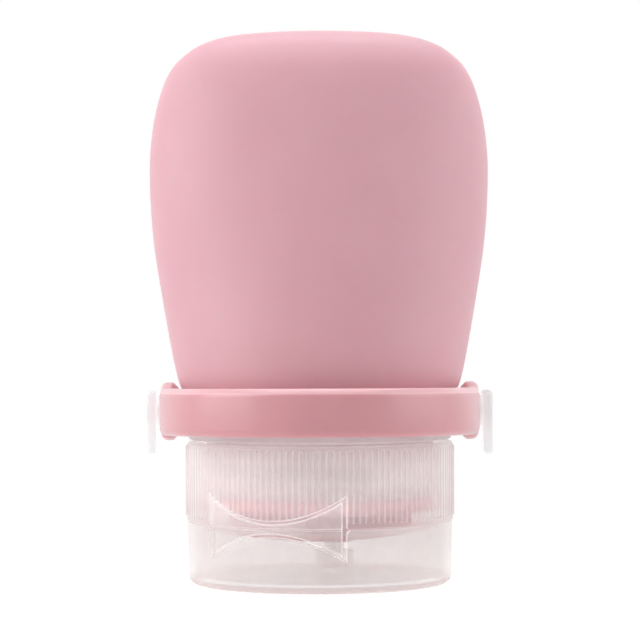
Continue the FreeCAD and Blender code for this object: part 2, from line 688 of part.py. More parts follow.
def make_neck_collar():
    """Threaded neck with a plain ring above it, clipped round the soft neck."""
    body = new_body("neck_collar")
    profile = add_sketch(body, "XZ_Plane", "collar_profile")
    groove = f"({collar_bore} + Sizes.bead_depth + Sizes.bead_gap)"
    groove_low = f"({bead_level} - Sizes.bead_height / 2 - Sizes.bead_gap)"
    groove_high = f"({bead_level} + Sizes.bead_height / 2 + Sizes.bead_gap)"
    outline(profile, [
        (collar_bore, rim_level),
        ("Sizes.neck_radius", rim_level),
        ("Sizes.neck_radius", ring_low),
        (ring_radius, ring_low),
        (ring_radius, ring_top),
        (collar_bore, ring_top),
        (collar_bore, groove_high),
        (groove, groove_high),
        (groove, groove_low),
        (collar_bore, groove_low),
    ])
    revolve(body, profile, "collar_turned")
    low_edge = ring_edge(ring_low, ring_radius)
    high_edge = ring_edge(ring_top, ring_radius)
    dress_edges(
        body, "PartDesign::Fillet", "ring_rounding", "Radius", "Sizes.ring_corner",
        lambda edge: low_edge(edge) or high_edge(edge),
    )
    marks = []
    for side, turn in (("left", "-Sizes.mark_azimuth"), ("right", "Sizes.mark_azimuth")):
        low = f"{ring_low} + Sizes.ring_corner"
        mark = add_sketch(body, "XY_Plane", f"{side}_mark_outline", along=low, turn=turn)
        outline(mark, box_corners(
            "-Sizes.mark_width / 2", f"-{ring_radius} - Sizes.mark_height",
            "Sizes.mark_width / 2", "-Sizes.neck_radius",
        ))
        marks.append(pad(body, mark, f"{side}_mark", "Sizes.ring_height - 2 * Sizes.ring_corner"))
    repeat_round(body, marks, "index_marks", "2")
    add_studs(body)
    wall = "Sizes.neck_radius - Sizes.thread_bite"
    add_thread(
        body, "neck_thread", wall, "Sizes.neck_radius", neck_thread_crest,
        neck_thread_start, "Sizes.neck_turns",
    )
    return body


def make_loop_strap():
    """Soft band round the front of the neck, with an eye on either stud."""
    body = new_body("loop_strap")
    path = add_sketch(body, "XY_Plane", "strap_path", along=stud_level)
    outline(path, [
        (band_middle, "0"),
        (band_middle, "-Sizes.leg_length", band_middle, "right"),
        ("0", f"-Sizes.leg_length - {band_middle}", band_middle, "right"),
        (f"-{band_middle}", "-Sizes.leg_length"),
        (f"-{band_middle}", "0"),
    ], closed=False)
    section = add_sketch(body, "XZ_Plane", "band_section", lift=stud_level)
    inner = f"({strap_half_width} - Sizes.band_thickness)"
    half_height = "Sizes.band_height / 2"
    outline(section, rounded_box_corners(
        inner, f"-{half_height}", strap_half_width, half_height, "Sizes.band_round",
    ))
    doc.recompute()
    band = body.newObject("PartDesign::AdditivePipe", "band")
    band.Profile = section
    band.Spine = (path, [f"Edge{index}" for index in range(1, len(path.Shape.Edges) + 1)])
    doc.recompute()

    bore = "(Sizes.stud_radius + Sizes.eye_running_gap)"
    eye = add_sketch(body, "XZ_Plane", "eye_profile", lift=stud_level)
    outline(eye, [
        (eye_inner, bore),
        (strap_half_width, bore),
        (strap_half_width, "Sizes.eye_radius - Sizes.eye_round", "Sizes.eye_round", "left"),
        (f"{strap_half_width} - Sizes.eye_round", "Sizes.eye_radius"),
        (f"{eye_inner} + Sizes.eye_chamfer", "Sizes.eye_radius"),
        (eye_inner, "Sizes.eye_radius - Sizes.eye_chamfer"),
    ])
    eye_disc = revolve(body, eye, "eye", axis="H_Axis")
    hole = add_sketch(body, "XZ_Plane", "eye_hole_profile", lift=stud_level)
    past = f"({strap_half_width} + Sizes.overrun)"
    outline(hole, box_corners(f"{eye_inner} - Sizes.overrun", "0", past, bore))
    eye_hole = revolve(body, hole, "eye_hole", axis="H_Axis", kind="PartDesign::Groove")
    mirror_sideways(body, [eye_disc, eye_hole], "far_eye")
    return body


def soft_form(name, inset):
    """A smooth solid through the soft body's oval sections, set in from its face by an inset."""
    half_width = number("Sizes.body_width / 2") - inset
    half_depth = number("Sizes.body_depth / 2") - inset
    shoulder = number(f"{ring_radius} + Sizes.shoulder_overhang") - inset
    low = number(ring_top) + inset
    high = number(f"{ring_top} + Sizes.body_height") - inset
    flare = [(rise, shoulder + (half_width - shoulder) * out, depth) for rise, out, depth in FLARE_SHARES]
    crown = [(rise, half_width * width, depth) for rise, width, depth in CROWN_SHARES]
    up = Vector(0, 0, 1)
    quarters = [Part.makeCircle(1, Vector(), up, turn, turn + 90) for turn in range(0, 360, 90)]
    unit_circle = Part.Wire(quarters)
    sections = []
    for height_share, width, depth_share in flare + crown:
        shape = Matrix()
        shape.scale(width, half_depth * depth_share, 1)
        shape.move(Vector(0, 0, low + (high - low) * height_share))
        sections.append(unit_circle.transformGeometry(shape))
    form = doc.addObject("Part::Feature", name)
    form.Shape = Part.makeLoft(sections, True, False)
    return form


def make_squeeze_bottle():
    """Soft hollow body with a tapered oval form, and a neck with a holding bead."""
    outside = soft_form("soft_outside", 0)
    inside = soft_form("soft_inside", number("Sizes.body_wall"))

    bead_low = f"({bead_level} - Sizes.bead_height / 2)"
    bead_high = f"({bead_level} + Sizes.bead_height / 2)"
    buried = f"({ring_top} + Sizes.body_wall / 2)"
    neck = make_ring("soft_neck", [
        ("0", rim_level),
        (soft_neck_radius, rim_level),
        (soft_neck_radius, bead_low),
        (bead_radius, bead_low),
        (bead_radius, bead_high),
        (soft_neck_radius, bead_high),
        (soft_neck_radius, buried),
        ("0", buried),
    ])
    bore_low = f"{rim_level} - Sizes.overrun"
    bore_high = f"{ring_top} + Sizes.body_wall + Sizes.overrun"
    bore = make_ring("soft_neck_bore", box_corners("0", bore_low, soft_neck_bore, bore_high))
    solid = boolean("Part::Fuse", "soft_solid", outside, neck)
    hollow = boolean("Part::Fuse", "soft_hollow", inside, bore)
    return boolean("Part::Cut", "squeeze_bottle", solid, hollow)


hinge_butterfly, lid_window, skirt_recess = make_hinge_pieces()
nodes = [
    make_squeeze_bottle(),
    make_neck_collar(),
    make_neck_insert(),
    make_loop_strap(),
    make_cap_gasket(),
    make_cap_base(skirt_recess),
    make_drip_valve(),
    make_valve_retainer(),
    hinge_butterfly,
    make_flip_lid(lid_window),
]
doc.recompute()

for item in doc.Objects:
    if "Invalid" in item.State or "Error" in item.State:
        raise RuntimeError(f"{item.Label} failed: {item.State}")
for node in nodes:
    if node.Shape.isNull() or not node.Shape.isValid():
        raise RuntimeError(f"{node.Label} has no valid shape")

os.makedirs("parts", exist_ok=True)
for node in nodes:
    node.Shape.exportStep(f"parts/{node.Label}.step")
    print(node.Label, len(node.Shape.Solids), "solid", round(node.Shape.Volume), "mm3")
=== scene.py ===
# %% [markdown]
# A travel squeeze bottle that stands on its cap.
# The real bottle is a soft silicone body, turned upside down on a clear flip-top cap, with a
# stretchy loop round its neck. The measured model gives each piece its place and size, and this
# lesson gives each piece its look. All lengths are in metres, with Z up and the front at -Y.

# %% Load the measured model
import json
import math

import bmesh
import bpy
from mathutils import Matrix, Vector, geometry


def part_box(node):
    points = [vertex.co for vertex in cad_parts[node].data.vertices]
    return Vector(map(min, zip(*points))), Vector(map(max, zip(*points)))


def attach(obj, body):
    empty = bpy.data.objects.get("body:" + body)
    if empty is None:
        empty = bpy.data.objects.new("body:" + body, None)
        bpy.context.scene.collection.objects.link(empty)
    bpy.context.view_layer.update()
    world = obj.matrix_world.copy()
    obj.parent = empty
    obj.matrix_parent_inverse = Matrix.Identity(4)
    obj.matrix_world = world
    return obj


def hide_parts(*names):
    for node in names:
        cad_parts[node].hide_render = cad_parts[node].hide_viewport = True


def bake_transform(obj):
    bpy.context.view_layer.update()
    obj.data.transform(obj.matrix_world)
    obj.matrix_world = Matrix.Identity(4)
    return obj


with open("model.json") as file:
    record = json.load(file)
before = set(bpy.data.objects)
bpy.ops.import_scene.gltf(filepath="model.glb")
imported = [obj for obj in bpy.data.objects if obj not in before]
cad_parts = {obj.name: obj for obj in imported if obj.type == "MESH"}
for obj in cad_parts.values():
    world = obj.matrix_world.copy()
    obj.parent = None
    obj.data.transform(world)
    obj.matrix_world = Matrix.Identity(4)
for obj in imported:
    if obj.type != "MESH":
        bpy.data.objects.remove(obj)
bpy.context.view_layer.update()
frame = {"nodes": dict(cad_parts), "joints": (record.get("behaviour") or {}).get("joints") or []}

MM = 0.001
print("measured pieces:", ", ".join(sorted(frame["nodes"])))

# %% [markdown]
# The camera comes first, because everything after it is judged through it.
# The photograph looks level at the bottle from about half a metre. A camera that is level keeps
# upright edges upright, and a small downward shift of the sensor frames the bottle instead of a
# tilt. The sensor is 36 mm wide and the picture is square, so the same numbers hold both ways.

# %% Set up the camera
PICTURE_PIXELS = 640
PIXEL_AT_AXIS = 0.164 * MM
CAMERA_DISTANCE = 0.450
CAMERA_HEIGHT = 0.0446
HORIZON_PIXEL = 310
AXIS_PIXEL = 319.3
CAMERA_ROLL = math.radians(0.23)
SENSOR_WIDTH = 36.0

camera_data = bpy.data.cameras.new("camera")
camera_data.sensor_width = SENSOR_WIDTH
camera_data.lens = SENSOR_WIDTH * CAMERA_DISTANCE / (PIXEL_AT_AXIS * PICTURE_PIXELS)
camera_data.shift_x = (PICTURE_PIXELS / 2 - AXIS_PIXEL) / PICTURE_PIXELS
camera_data.shift_y = (HORIZON_PIXEL - PICTURE_PIXELS / 2) / PICTURE_PIXELS
camera_data.clip_start = 0.01
camera = bpy.data.objects.new("camera", camera_data)
camera.location = (0, -CAMERA_DISTANCE, CAMERA_HEIGHT)
camera.rotation_euler = (math.pi / 2, CAMERA_ROLL, 0)
bpy.context.scene.collection.objects.link(camera)
bpy.context.scene.camera = camera
print("lens", round(camera_data.lens, 1), "mm")

# %% [markdown]
# Most pieces of a bottle are turned or lofted, so a few helpers carry the whole lesson.
# One rounds the corners of an outline, one joins rings of points into a skin, and one cleans the
# skin: it merges doubled points, closes poles, turns faces outwards and shades them smooth.

# %% Helpers for outlines and skins
MERGE_DISTANCE = 0.0002 * MM
SMOOTH_ANGLE = math.radians(38)


def around(radius, azimuth, height):
    """A point on a ring about the bottle's axis. Azimuth 0 is the front and a positive one goes to +X."""
    return Vector((radius * math.sin(azimuth), -radius * math.cos(azimuth), height))


def spread(start, end, count):
    """Evenly spaced values from start to end."""
    return [start + (end - start) * step / (count - 1) for step in range(count)]


def filleted(corners, steps=5):
    """Points of a closed outline, where each corner is (across, up, rounding)."""
    points = []
    for index, (across, up, rounding) in enumerate(corners):
        corner = Vector((across, up))
        if not rounding:
            points.append(corner)
            continue
        back = (Vector(corners[index - 1][:2]) - corner).normalized()
        ahead = (Vector(corners[(index + 1) % len(corners)][:2]) - corner).normalized()
        half = back.angle(ahead) / 2
        centre = corner + (back + ahead).normalized() * rounding / math.sin(half)
        first = corner + back * rounding / math.tan(half) - centre
        last = corner + ahead * rounding / math.tan(half) - centre
        turn = first.angle(last)
        for share in spread(0, 1, steps + 1):
            mix = first * math.sin((1 - share) * turn) + last * math.sin(share * turn)
            points.append(centre + mix / math.sin(turn))
    return points


def skin(name, rings, joined=False, capped=False):
    """Quads between rings of points. Joined closes the last ring on the first, capped fills both ends."""
    width = len(rings[0])
    points = [point for ring in rings for point in ring]
    faces = []
    for index in range(len(rings) if joined else len(rings) - 1):
        here = index * width
        there = (index + 1) % len(rings) * width
        for column in range(width):
            beside = (column + 1) % width
            faces.append((here + column, here + beside, there + beside, there + column))
    if capped:
        faces.append(tuple(range(width)))
        faces.append(tuple(range(len(points) - width, len(points))))
    mesh = bpy.data.meshes.new(name)
    mesh.from_pydata(points, [], faces)
    return clean(mesh)

# %% [markdown]
# A mesh is cleaned once it is made: doubled points are merged and faces turned outwards. Pieces that
# are round are turned from an outline, and pieces that change on the way round are set up as columns.

# %% Helpers for meshes
def clean(mesh):
    """Merge doubled points, drop empty faces, turn faces outwards and shade smooth up to an angle."""
    work = bmesh.new()
    work.from_mesh(mesh)
    bmesh.ops.remove_doubles(work, verts=work.verts, dist=MERGE_DISTANCE)
    bmesh.ops.dissolve_degenerate(work, edges=work.edges, dist=MERGE_DISTANCE)
    bmesh.ops.recalc_face_normals(work, faces=work.faces)
    work.to_mesh(mesh)
    work.free()
    mesh.shade_smooth()
    mesh.set_sharp_from_angle(angle=SMOOTH_ANGLE)
    return mesh


def columns_joined(name, columns):
    """Quads between open columns of points that stand round the axis, the last one joined to the first."""
    height = len(columns[0])
    faces = []
    for index in range(len(columns)):
        here = index * height
        there = (index + 1) % len(columns) * height
        faces += [(here + row, here + row + 1, there + row + 1, there + row) for row in range(height - 1)]
    mesh = bpy.data.meshes.new(name)
    mesh.from_pydata([point for column in columns for point in column], [], faces)
    return mesh


def piece(name, mesh, material):
    """An object of the scene that shows a mesh in one finish."""
    item = bpy.data.objects.new(name, mesh)
    bpy.context.scene.collection.objects.link(item)
    mesh.materials.clear()
    mesh.materials.append(material)
    return item


def turned(name, outline, columns=256, place=Matrix()):
    """A closed outline of (radius, height) points, turned once about the axis and put in place."""
    rings = []
    for column in range(columns):
        azimuth = 2 * math.pi * column / columns
        rings.append([place @ around(radius, azimuth, height) for radius, height in outline])
    return skin(name, rings, joined=True)


# %% [markdown]
# Pieces of one moulding are joined by exact booleans, and the same tool cuts what is cut away. The
# modifiers are worked in at once, so that every finished piece is a plain mesh.

# %% Helpers for joining and cutting
def baked(item):
    """The mesh of an object with its modifiers worked in. The object itself is removed."""
    graph = bpy.context.evaluated_depsgraph_get()
    mesh = bpy.data.meshes.new_from_object(item.evaluated_get(graph))
    bpy.data.objects.remove(item)
    return mesh


def combined(name, base, others, operation="UNION"):
    """One mesh made of several by exact booleans."""
    item = bpy.data.objects.new(name, base)
    bpy.context.scene.collection.objects.link(item)
    tools = []
    for index, other in enumerate(others):
        tool = bpy.data.objects.new(f"{name}_tool_{index}", other)
        bpy.context.scene.collection.objects.link(tool)
        step = item.modifiers.new(f"step_{index}", "BOOLEAN")
        step.operation = operation
        step.solver = "EXACT"
        step.object = tool
        tools.append(tool)
    mesh = baked(item)
    for tool in tools:
        bpy.data.objects.remove(tool)
    return clean(mesh)


# %% [markdown]
# Finishes. The body, the strap and the sealing ring are matte silicone: light goes a little way in,
# so the colour glows at thin edges, and a fine moulded grain breaks the gloss. The cap is natural
# polypropylene: it lets most light through, scatters some of it and is faintly cloudy where the
# melt flowed. Each finish is a node tree on Object coordinates, so it stays put as pieces move.

# %% Finishes
def linear(red, green, blue):
    """A linear colour from the red, green and blue of a picture, counted to 255."""
    def one(value):
        share = value / 255
        return share / 12.92 if share <= 0.04045 else ((share + 0.055) / 1.055) ** 2.4
    return (one(red), one(green), one(blue), 1.0)


class Tree:
    """A node tree that is filled node by node."""

    def __init__(self, tree):
        self.tree = tree

    def add(self, kind, inputs=None, **settings):
        node = self.tree.nodes.new(kind)
        for key, value in settings.items():
            setattr(node, key, value)
        for key, value in (inputs or {}).items():
            if isinstance(value, bpy.types.NodeSocket):
                self.tree.links.new(value, node.inputs[key])
            else:
                node.inputs[key].default_value = value
        return node

    def math(self, operation, first, second=0.0):
        return self.add("ShaderNodeMath", {0: first, 1: second}, operation=operation).outputs[0]


def new_finish(name):
    """An empty material with its output and its Object coordinates."""
    material = bpy.data.materials.new(name)
    material.use_nodes = True
    material.node_tree.nodes.clear()
    tree = Tree(material.node_tree)
    place = tree.add("ShaderNodeTexCoord").outputs["Object"]
    output = tree.add("ShaderNodeOutputMaterial")
    return material, tree, place, output


# %% [markdown]
# No moulding has quite one tone. A soft noise drives small drifts of colour and of gloss.

# %% Drifts of tone
def clouds(tree, place, scale, detail=3.0):
    """A soft noise, with its scale counted per metre."""
    noise = tree.add("ShaderNodeTexNoise", {"Vector": place, "Scale": scale, "Detail": detail})
    return noise.outputs["Fac"]


def between(tree, share, low, high):
    """A value that runs from low to high as a noise goes through its middle range."""
    ramp = tree.add("ShaderNodeMapRange", {"Value": share, "From Min": 0.3, "From Max": 0.7})
    ramp.inputs["To Min"].default_value = low
    ramp.inputs["To Max"].default_value = high
    return ramp.outputs["Result"]


def two_tone(tree, share, first, second):
    """A colour between two, chosen by a share."""
    ramp = tree.add("ShaderNodeValToRGB", {"Fac": share})
    ramp.color_ramp.elements[0].position = 0.35
    ramp.color_ramp.elements[0].color = first
    ramp.color_ramp.elements[1].position = 0.65
    ramp.color_ramp.elements[1].color = second
    return ramp.outputs["Color"]

# %% [markdown]
# Silicone lets light in a little way. Its grain is a fine bump, and its colour and gloss drift slowly
# over the piece. Gloss is a clear coat, for the polished strap, and bloom is its soft sheen.

# %% Silicone
def silicone(name, pale, deep, roughness, depth, gloss, bloom):
    """Matte silicone whose colour drifts between a pale and a deep tone."""
    material, tree, place, output = new_finish(name)
    grain = clouds(tree, place, 2600.0, 2.0)
    bump = tree.add("ShaderNodeBump", {"Height": grain, "Strength": 0.06, "Distance": 0.0001})
    shader = tree.add("ShaderNodeBsdfPrincipled", {
        "Base Color": two_tone(tree, clouds(tree, place, 70.0), pale, deep),
        "Roughness": between(tree, clouds(tree, place, 240.0), roughness - 0.04, roughness + 0.04),
        "Normal": bump.outputs["Normal"],
        "Subsurface Weight": 0.5,
        "Subsurface Scale": depth,
        "Subsurface Radius": (1.0, 0.55, 0.6),
        "IOR": 1.41,
        "Coat Weight": gloss,
        "Coat Roughness": 0.25,
        "Sheen Weight": bloom,
        "Sheen Roughness": 0.35,
    })
    tree.tree.links.new(shader.outputs[0], output.inputs["Surface"])
    return material

# %% [markdown]
# Polypropylene is a mix: a glossy surface, a share that is lit up by light from behind, and a share
# that lets light straight through. Towards an edge the plastic is seen through more of its thickness,
# so it gets milkier and shinier there. Light from the lamps passes nearly whole.

# %% Polypropylene
LAMP_SHARE = 0.97
EDGE_FALL = 2.0
SHINE_FALL = 4.0
PASSING_TINT = linear(254, 253, 253)


def polypropylene(name, pale, deep, roughness, clear, edge, glow, shine):
    """Natural polypropylene: light goes straight through or lights it up, less clear towards an edge."""
    material, tree, place, output = new_finish(name)
    flow = clouds(tree, place, 180.0)
    bump = tree.add("ShaderNodeBump", {
        "Height": clouds(tree, place, 900.0, 2.0), "Strength": 0.05, "Distance": 0.0001,
    })
    cloudy = tree.add("ShaderNodeBsdfPrincipled", {
        "Base Color": two_tone(tree, flow, pale, deep),
        "Roughness": between(tree, clouds(tree, place, 420.0), roughness - 0.03, roughness + 0.03),
        "Normal": bump.outputs["Normal"],
        "IOR": 1.49,
    })
    lit_up = tree.add("ShaderNodeBsdfTranslucent", {"Color": two_tone(tree, flow, pale, deep)})
    solid = tree.add("ShaderNodeMixShader", {0: glow, 1: cloudy.outputs[0], 2: lit_up.outputs[0]})
    straight = tree.add("ShaderNodeBsdfTransparent", {"Color": PASSING_TINT})
    shadow = tree.add("ShaderNodeLightPath").outputs["Is Shadow Ray"]
    patchy = between(tree, flow, clear - 0.02, clear + 0.02)
    slant = tree.add("ShaderNodeLayerWeight", {"Blend": 0.5}).outputs["Facing"]
    milky = tree.math("MULTIPLY", tree.math("POWER", slant, EDGE_FALL), edge)
    patchy = tree.math("MULTIPLY", patchy, tree.math("SUBTRACT", 1.0, milky))
    share = tree.math("MAXIMUM", patchy, tree.math("MULTIPLY", shadow, LAMP_SHARE))
    plain = tree.add("ShaderNodeMixShader", {0: share, 1: solid.outputs[0], 2: straight.outputs[0]})
    mirror = tree.add("ShaderNodeBsdfGlossy", {
        "Color": (1, 1, 1, 1), "Roughness": roughness, "Normal": bump.outputs["Normal"],
    })
    glint = tree.math("MULTIPLY", tree.math("POWER", slant, SHINE_FALL), shine)
    glint = tree.math("MULTIPLY", glint, tree.math("SUBTRACT", 1.0, shadow))
    glossy = tree.add("ShaderNodeMixShader", {0: glint, 1: plain.outputs[0], 2: mirror.outputs[0]})
    tree.tree.links.new(glossy.outputs[0], output.inputs["Surface"])
    return material

# %% [markdown]
# The finishes of this bottle. The same plastic is clearer or denser from place to place, because it
# is thin in the lid and in the hinge, and thick in the studs, in the foot and in the deck. The faint pink
# of the lid, the skirt and the rib crests and the stronger pink of the deck are painted light from the
# pink body. The foot's darker tone is painted shade. The paler finishes of edges, of rib crests and of the
# strap's upper edge are painted highlights. The valve is silicone, but so thin that light goes through it,
# so it is mixed as the plastic is.

# %% Mix the finishes
body_finish = silicone(
    "silicone_body", linear(238, 186, 195), linear(235, 182, 192),
    roughness=0.46, depth=1.2 * MM, gloss=0.0, bloom=0.0,
)
strap_finish = silicone(
    "silicone_strap", linear(231, 166, 173), linear(227, 161, 168),
    roughness=0.32, depth=1.0 * MM, gloss=0.6, bloom=0.2,
)
# A paler copy of the strap's finish for its upper edge: a painted highlight of the light from above.
strap_highlight_finish = silicone(
    "silicone_strap_rim", linear(248, 196, 202), linear(245, 191, 197),
    roughness=0.32, depth=1.0 * MM, gloss=0.6, bloom=0.2,
)
gasket_finish = silicone(
    "silicone_gasket", linear(231, 174, 180), linear(226, 167, 173),
    roughness=0.42, depth=0.8 * MM, gloss=0.0, bloom=0.0,
)
valve_finish = polypropylene(
    "silicone_valve", linear(240, 205, 208), linear(236, 198, 202),
    roughness=0.35, clear=0.3, edge=0.0, glow=0.3, shine=0.0,
)
# The faint pink in the lid's colours is painted light from the pink body.
lid_finish = polypropylene(
    "polypropylene_lid", linear(253, 251, 250), linear(251, 248, 247),
    roughness=0.14, clear=0.68, edge=0.6, glow=0.4, shine=0.2,
)
# Denser plastic for the foot, with a darker pinkish-grey tone that is painted shade and painted pink light
# from the body.
foot_dense_shade_finish = polypropylene(
    "polypropylene_foot", linear(240, 224, 222), linear(237, 220, 218),
    roughness=0.18, clear=0.3, edge=0.2, glow=0.3, shine=0.1,
)
hinge_finish = polypropylene(
    "polypropylene_hinge", linear(255, 255, 255), linear(253, 252, 252),
    roughness=0.1, clear=0.75, edge=1.0, glow=0.6, shine=0.9,
)
# A paler, less clear finish for the faces along edges: a painted highlight.
edge_highlight_finish = polypropylene(
    "polypropylene_edge", linear(255, 255, 255), linear(254, 253, 253),
    roughness=0.12, clear=0.15, edge=0.3, glow=0.6, shine=0.9,
)
# A paler, less clear finish for the rib crests: a painted highlight, with a faint painted pink from the
# body.
rib_highlight_finish = polypropylene(
    "polypropylene_rib", linear(253, 249, 249), linear(251, 246, 246),
    roughness=0.14, clear=0.3, edge=0.3, glow=0.6, shine=0.4,
)
# The faint pink in the skirt's colours is painted light from the pink body.
skirt_finish = polypropylene(
    "polypropylene_skirt", linear(251, 247, 247), linear(248, 244, 244),
    roughness=0.20, clear=0.58, edge=0.5, glow=0.45, shine=0.2,
)
# The deck's pink is painted light: the pink of the body shining through the milky plastic.
deck_pink_light_finish = polypropylene(
    "polypropylene_deck", linear(249, 212, 214), linear(246, 206, 209),
    roughness=0.26, clear=0.38, edge=0.2, glow=0.45, shine=0.0,
)
collar_finish = polypropylene(
    "polypropylene_collar", linear(252, 252, 252), linear(250, 249, 249),
    roughness=0.26, clear=0.2, edge=0.2, glow=0.55, shine=0.1,
)
stud_finish = polypropylene(
    "polypropylene_stud", linear(251, 254, 254), linear(249, 252, 252),
    roughness=0.3, clear=0.1, edge=0.0, glow=0.5, shine=0.0,
)
mixed = [name for name in bpy.data.materials.keys() if name.startswith(("silicone", "polypropylene"))]
print("finishes:", ", ".join(sorted(mixed)))

# %% [markdown]
# The soft body is the main form: a round shoulder on the collar that flares into a wide oval and
# tapers in depth to a rounded crown. It could be sculpted, but its sections are known, so it is
# lofted: one row gives a section's height, half width and half depth, and a smooth run through
# the rows gives all the rings between. The skin goes over the crown, down the outside, through
# the neck and up the inside, so the wall has its real thickness and the bottle is hollow.

# %% Soft body
body_low, body_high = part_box("squeeze_bottle")
ring_low, ring_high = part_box("neck_collar")
BODY_COLUMNS = 160
BODY_WALL = 2.0 * MM
SHOULDER = 31.15 * MM
SHOULDER_RADIUS = 21.96 * MM
SHOULDER_ROUND = 0.4 * MM
SEAT_GAP = 0.05 * MM
NECK_RADIUS = 16.95 * MM
NECK_BEAD = 1.1 * MM
BEAD_LEVEL = 27.15 * MM
BEAD_HALF = 1.2 * MM
body_half_width = body_high.x
body_half_depth = 21.8 * MM

# Shares of height, of flare and of half depth from the shoulder to the widest section.
FLARE_SHARES = [
    (0.000, 0.000, 0.960), (0.020, 0.152, 1.000), (0.090, 0.333, 0.990),
    (0.255, 0.638, 0.925), (0.420, 0.895, 0.845), (0.585, 1.000, 0.760),
]
# Shares of height, of half width and of half depth from there to the crown.
CROWN_SHARES = [
    (0.700, 0.990, 0.695), (0.810, 0.946, 0.625), (0.895, 0.871, 0.548), (0.948, 0.755, 0.460),
    (0.974, 0.640, 0.385), (0.988, 0.515, 0.308), (0.9965, 0.320, 0.190), (1.000, 0.145, 0.085),
]


def oval(half_width, half_depth, height):
    """A ring of points on an oval section."""
    turns = [2 * math.pi * column / BODY_COLUMNS for column in range(BODY_COLUMNS)]
    return [Vector((half_width * math.sin(turn), -half_depth * math.cos(turn), height)) for turn in turns]


def smooth_run(rows, steps=8):
    """Rows of numbers joined by a smooth curve through all of them."""
    run = []
    for index in range(len(rows) - 1):
        here, there = rows[index], rows[index + 1]
        before = rows[max(index - 1, 0)]
        after = rows[min(index + 2, len(rows) - 1)]
        reach = (there - here).length / 3
        leaving = here + (there - before).normalized() * reach
        arriving = there - (after - here).normalized() * reach
        part = geometry.interpolate_bezier(here, leaving, arriving, there, steps + 1)
        run += part if index == 0 else part[1:]
    return run


def body_sections(inset):
    """Height, half width and half depth of the body's rings, set in from its face."""
    low = SHOULDER + inset
    high = body_high.z - inset
    shoulder = SHOULDER_RADIUS - inset
    half_width = body_half_width - inset
    half_depth = body_half_depth - inset
    rows = [(rise, shoulder + (half_width - shoulder) * out, deep) for rise, out, deep in FLARE_SHARES]
    rows += [(rise, half_width * wide, deep) for rise, wide, deep in CROWN_SHARES]
    rows = [Vector((low + (high - low) * rise, wide, half_depth * deep)) for rise, wide, deep in rows]
    return smooth_run(rows)

# %% [markdown]
# The rings of the outside and of the inside are the same sections, one set in by the wall. The neck
# lies between them, with the bead that the collar holds.

# %% Skin of the soft body
outside = body_sections(0)
inside = body_sections(BODY_WALL)
rings = [oval(0, 0, body_high.z)]
rings += [oval(wide, deep, max(up, SHOULDER + SHOULDER_ROUND)) for up, wide, deep in reversed(outside)]
foot_width, foot_depth = outside[0][1:]
for share in (0.3, 0.7, 1.0):
    fall = SHOULDER_ROUND * math.sin(share * math.pi / 2)
    draw = SHOULDER_ROUND * (1 - math.cos(share * math.pi / 2))
    rings.append(oval(foot_width - draw, foot_depth - draw, SHOULDER + SHOULDER_ROUND - fall + SEAT_GAP))
neck_run = [
    (NECK_RADIUS, SHOULDER + SEAT_GAP), (NECK_RADIUS, BEAD_LEVEL + BEAD_HALF),
    (NECK_RADIUS + NECK_BEAD, BEAD_LEVEL + BEAD_HALF / 2),
    (NECK_RADIUS + NECK_BEAD, BEAD_LEVEL - BEAD_HALF / 2),
    (NECK_RADIUS, BEAD_LEVEL - BEAD_HALF), (NECK_RADIUS, body_low.z),
    (NECK_RADIUS - BODY_WALL, body_low.z), (NECK_RADIUS - BODY_WALL, SHOULDER + BODY_WALL),
]
rings += [oval(radius, radius, height) for radius, height in neck_run]
rings += [oval(wide, deep, up) for up, wide, deep in inside]
rings.append(oval(0, 0, body_high.z - BODY_WALL))
soft_body = piece("soft_body", skin("soft_body", rings), body_finish)
print("soft body", len(soft_body.data.polygons), "faces")

# %% [markdown]
# The strap is a soft band that runs round the front of the neck, with a thick eye at either end
# that snaps over a stud. The band is one rounded section carried along a path of two short legs
# and a half circle. It could be a bevelled curve, but rings of points give its edges their own slopes.

# %% Strap band
strap_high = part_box("loop_strap")[1]
STUD_LEVEL = 28.1 * MM
BAND_HEIGHT = 7.55 * MM
BAND_THICKNESS = 2.2 * MM
BAND_ROUND = 0.8 * MM
BAND_SLOPE = 0.65 * MM
BAND_FALL = 0.95 * MM
LEG_LENGTH = 4.0 * MM
BAND_START = 2.75 * MM
BAND_LIFT = 0.022
strap_half_width = strap_high.x


def band_section(place, outward):
    """The band's rounded section at a place of its path, seen along the path."""
    half = BAND_HEIGHT / 2
    place = place - Vector((0, 0, place.y * BAND_LIFT))
    corners = [
        (-BAND_THICKNESS, -half, BAND_ROUND),
        (-BAND_SLOPE, -half, BAND_SLOPE), (0, -half + BAND_SLOPE, 2 * BAND_SLOPE),
        (0, half - BAND_FALL, 2 * BAND_SLOPE), (-BAND_SLOPE, half, BAND_SLOPE),
        (-BAND_THICKNESS, half, BAND_ROUND),
    ]
    return [place + outward * out + Vector((0, 0, up)) for out, up in filleted(corners)]


rings = []
for leg in spread(BAND_START, LEG_LENGTH, 3)[:-1]:
    rings.append(band_section(Vector((strap_half_width, -leg, STUD_LEVEL)), Vector((1, 0, 0))))
for azimuth in spread(math.pi / 2, -math.pi / 2, 121):
    outward = around(1, azimuth, 0)
    centre = Vector((0, -LEG_LENGTH, STUD_LEVEL))
    rings.append(band_section(centre + outward * strap_half_width, outward))
for leg in spread(LEG_LENGTH, BAND_START, 3)[1:]:
    rings.append(band_section(Vector((-strap_half_width, -leg, STUD_LEVEL)), Vector((-1, 0, 0))))
band = skin("band", rings, capped=True)


# %% [markdown]
# The eyes are thick rings with a sloped inner edge, turned from one outline about the studs' axis. They
# are joined to the band, so that the strap is one moulding, as the real one is. Light from above makes
# the strap's upper edge look paler, so the faces that turn upwards get a paler finish: a painted
# highlight.

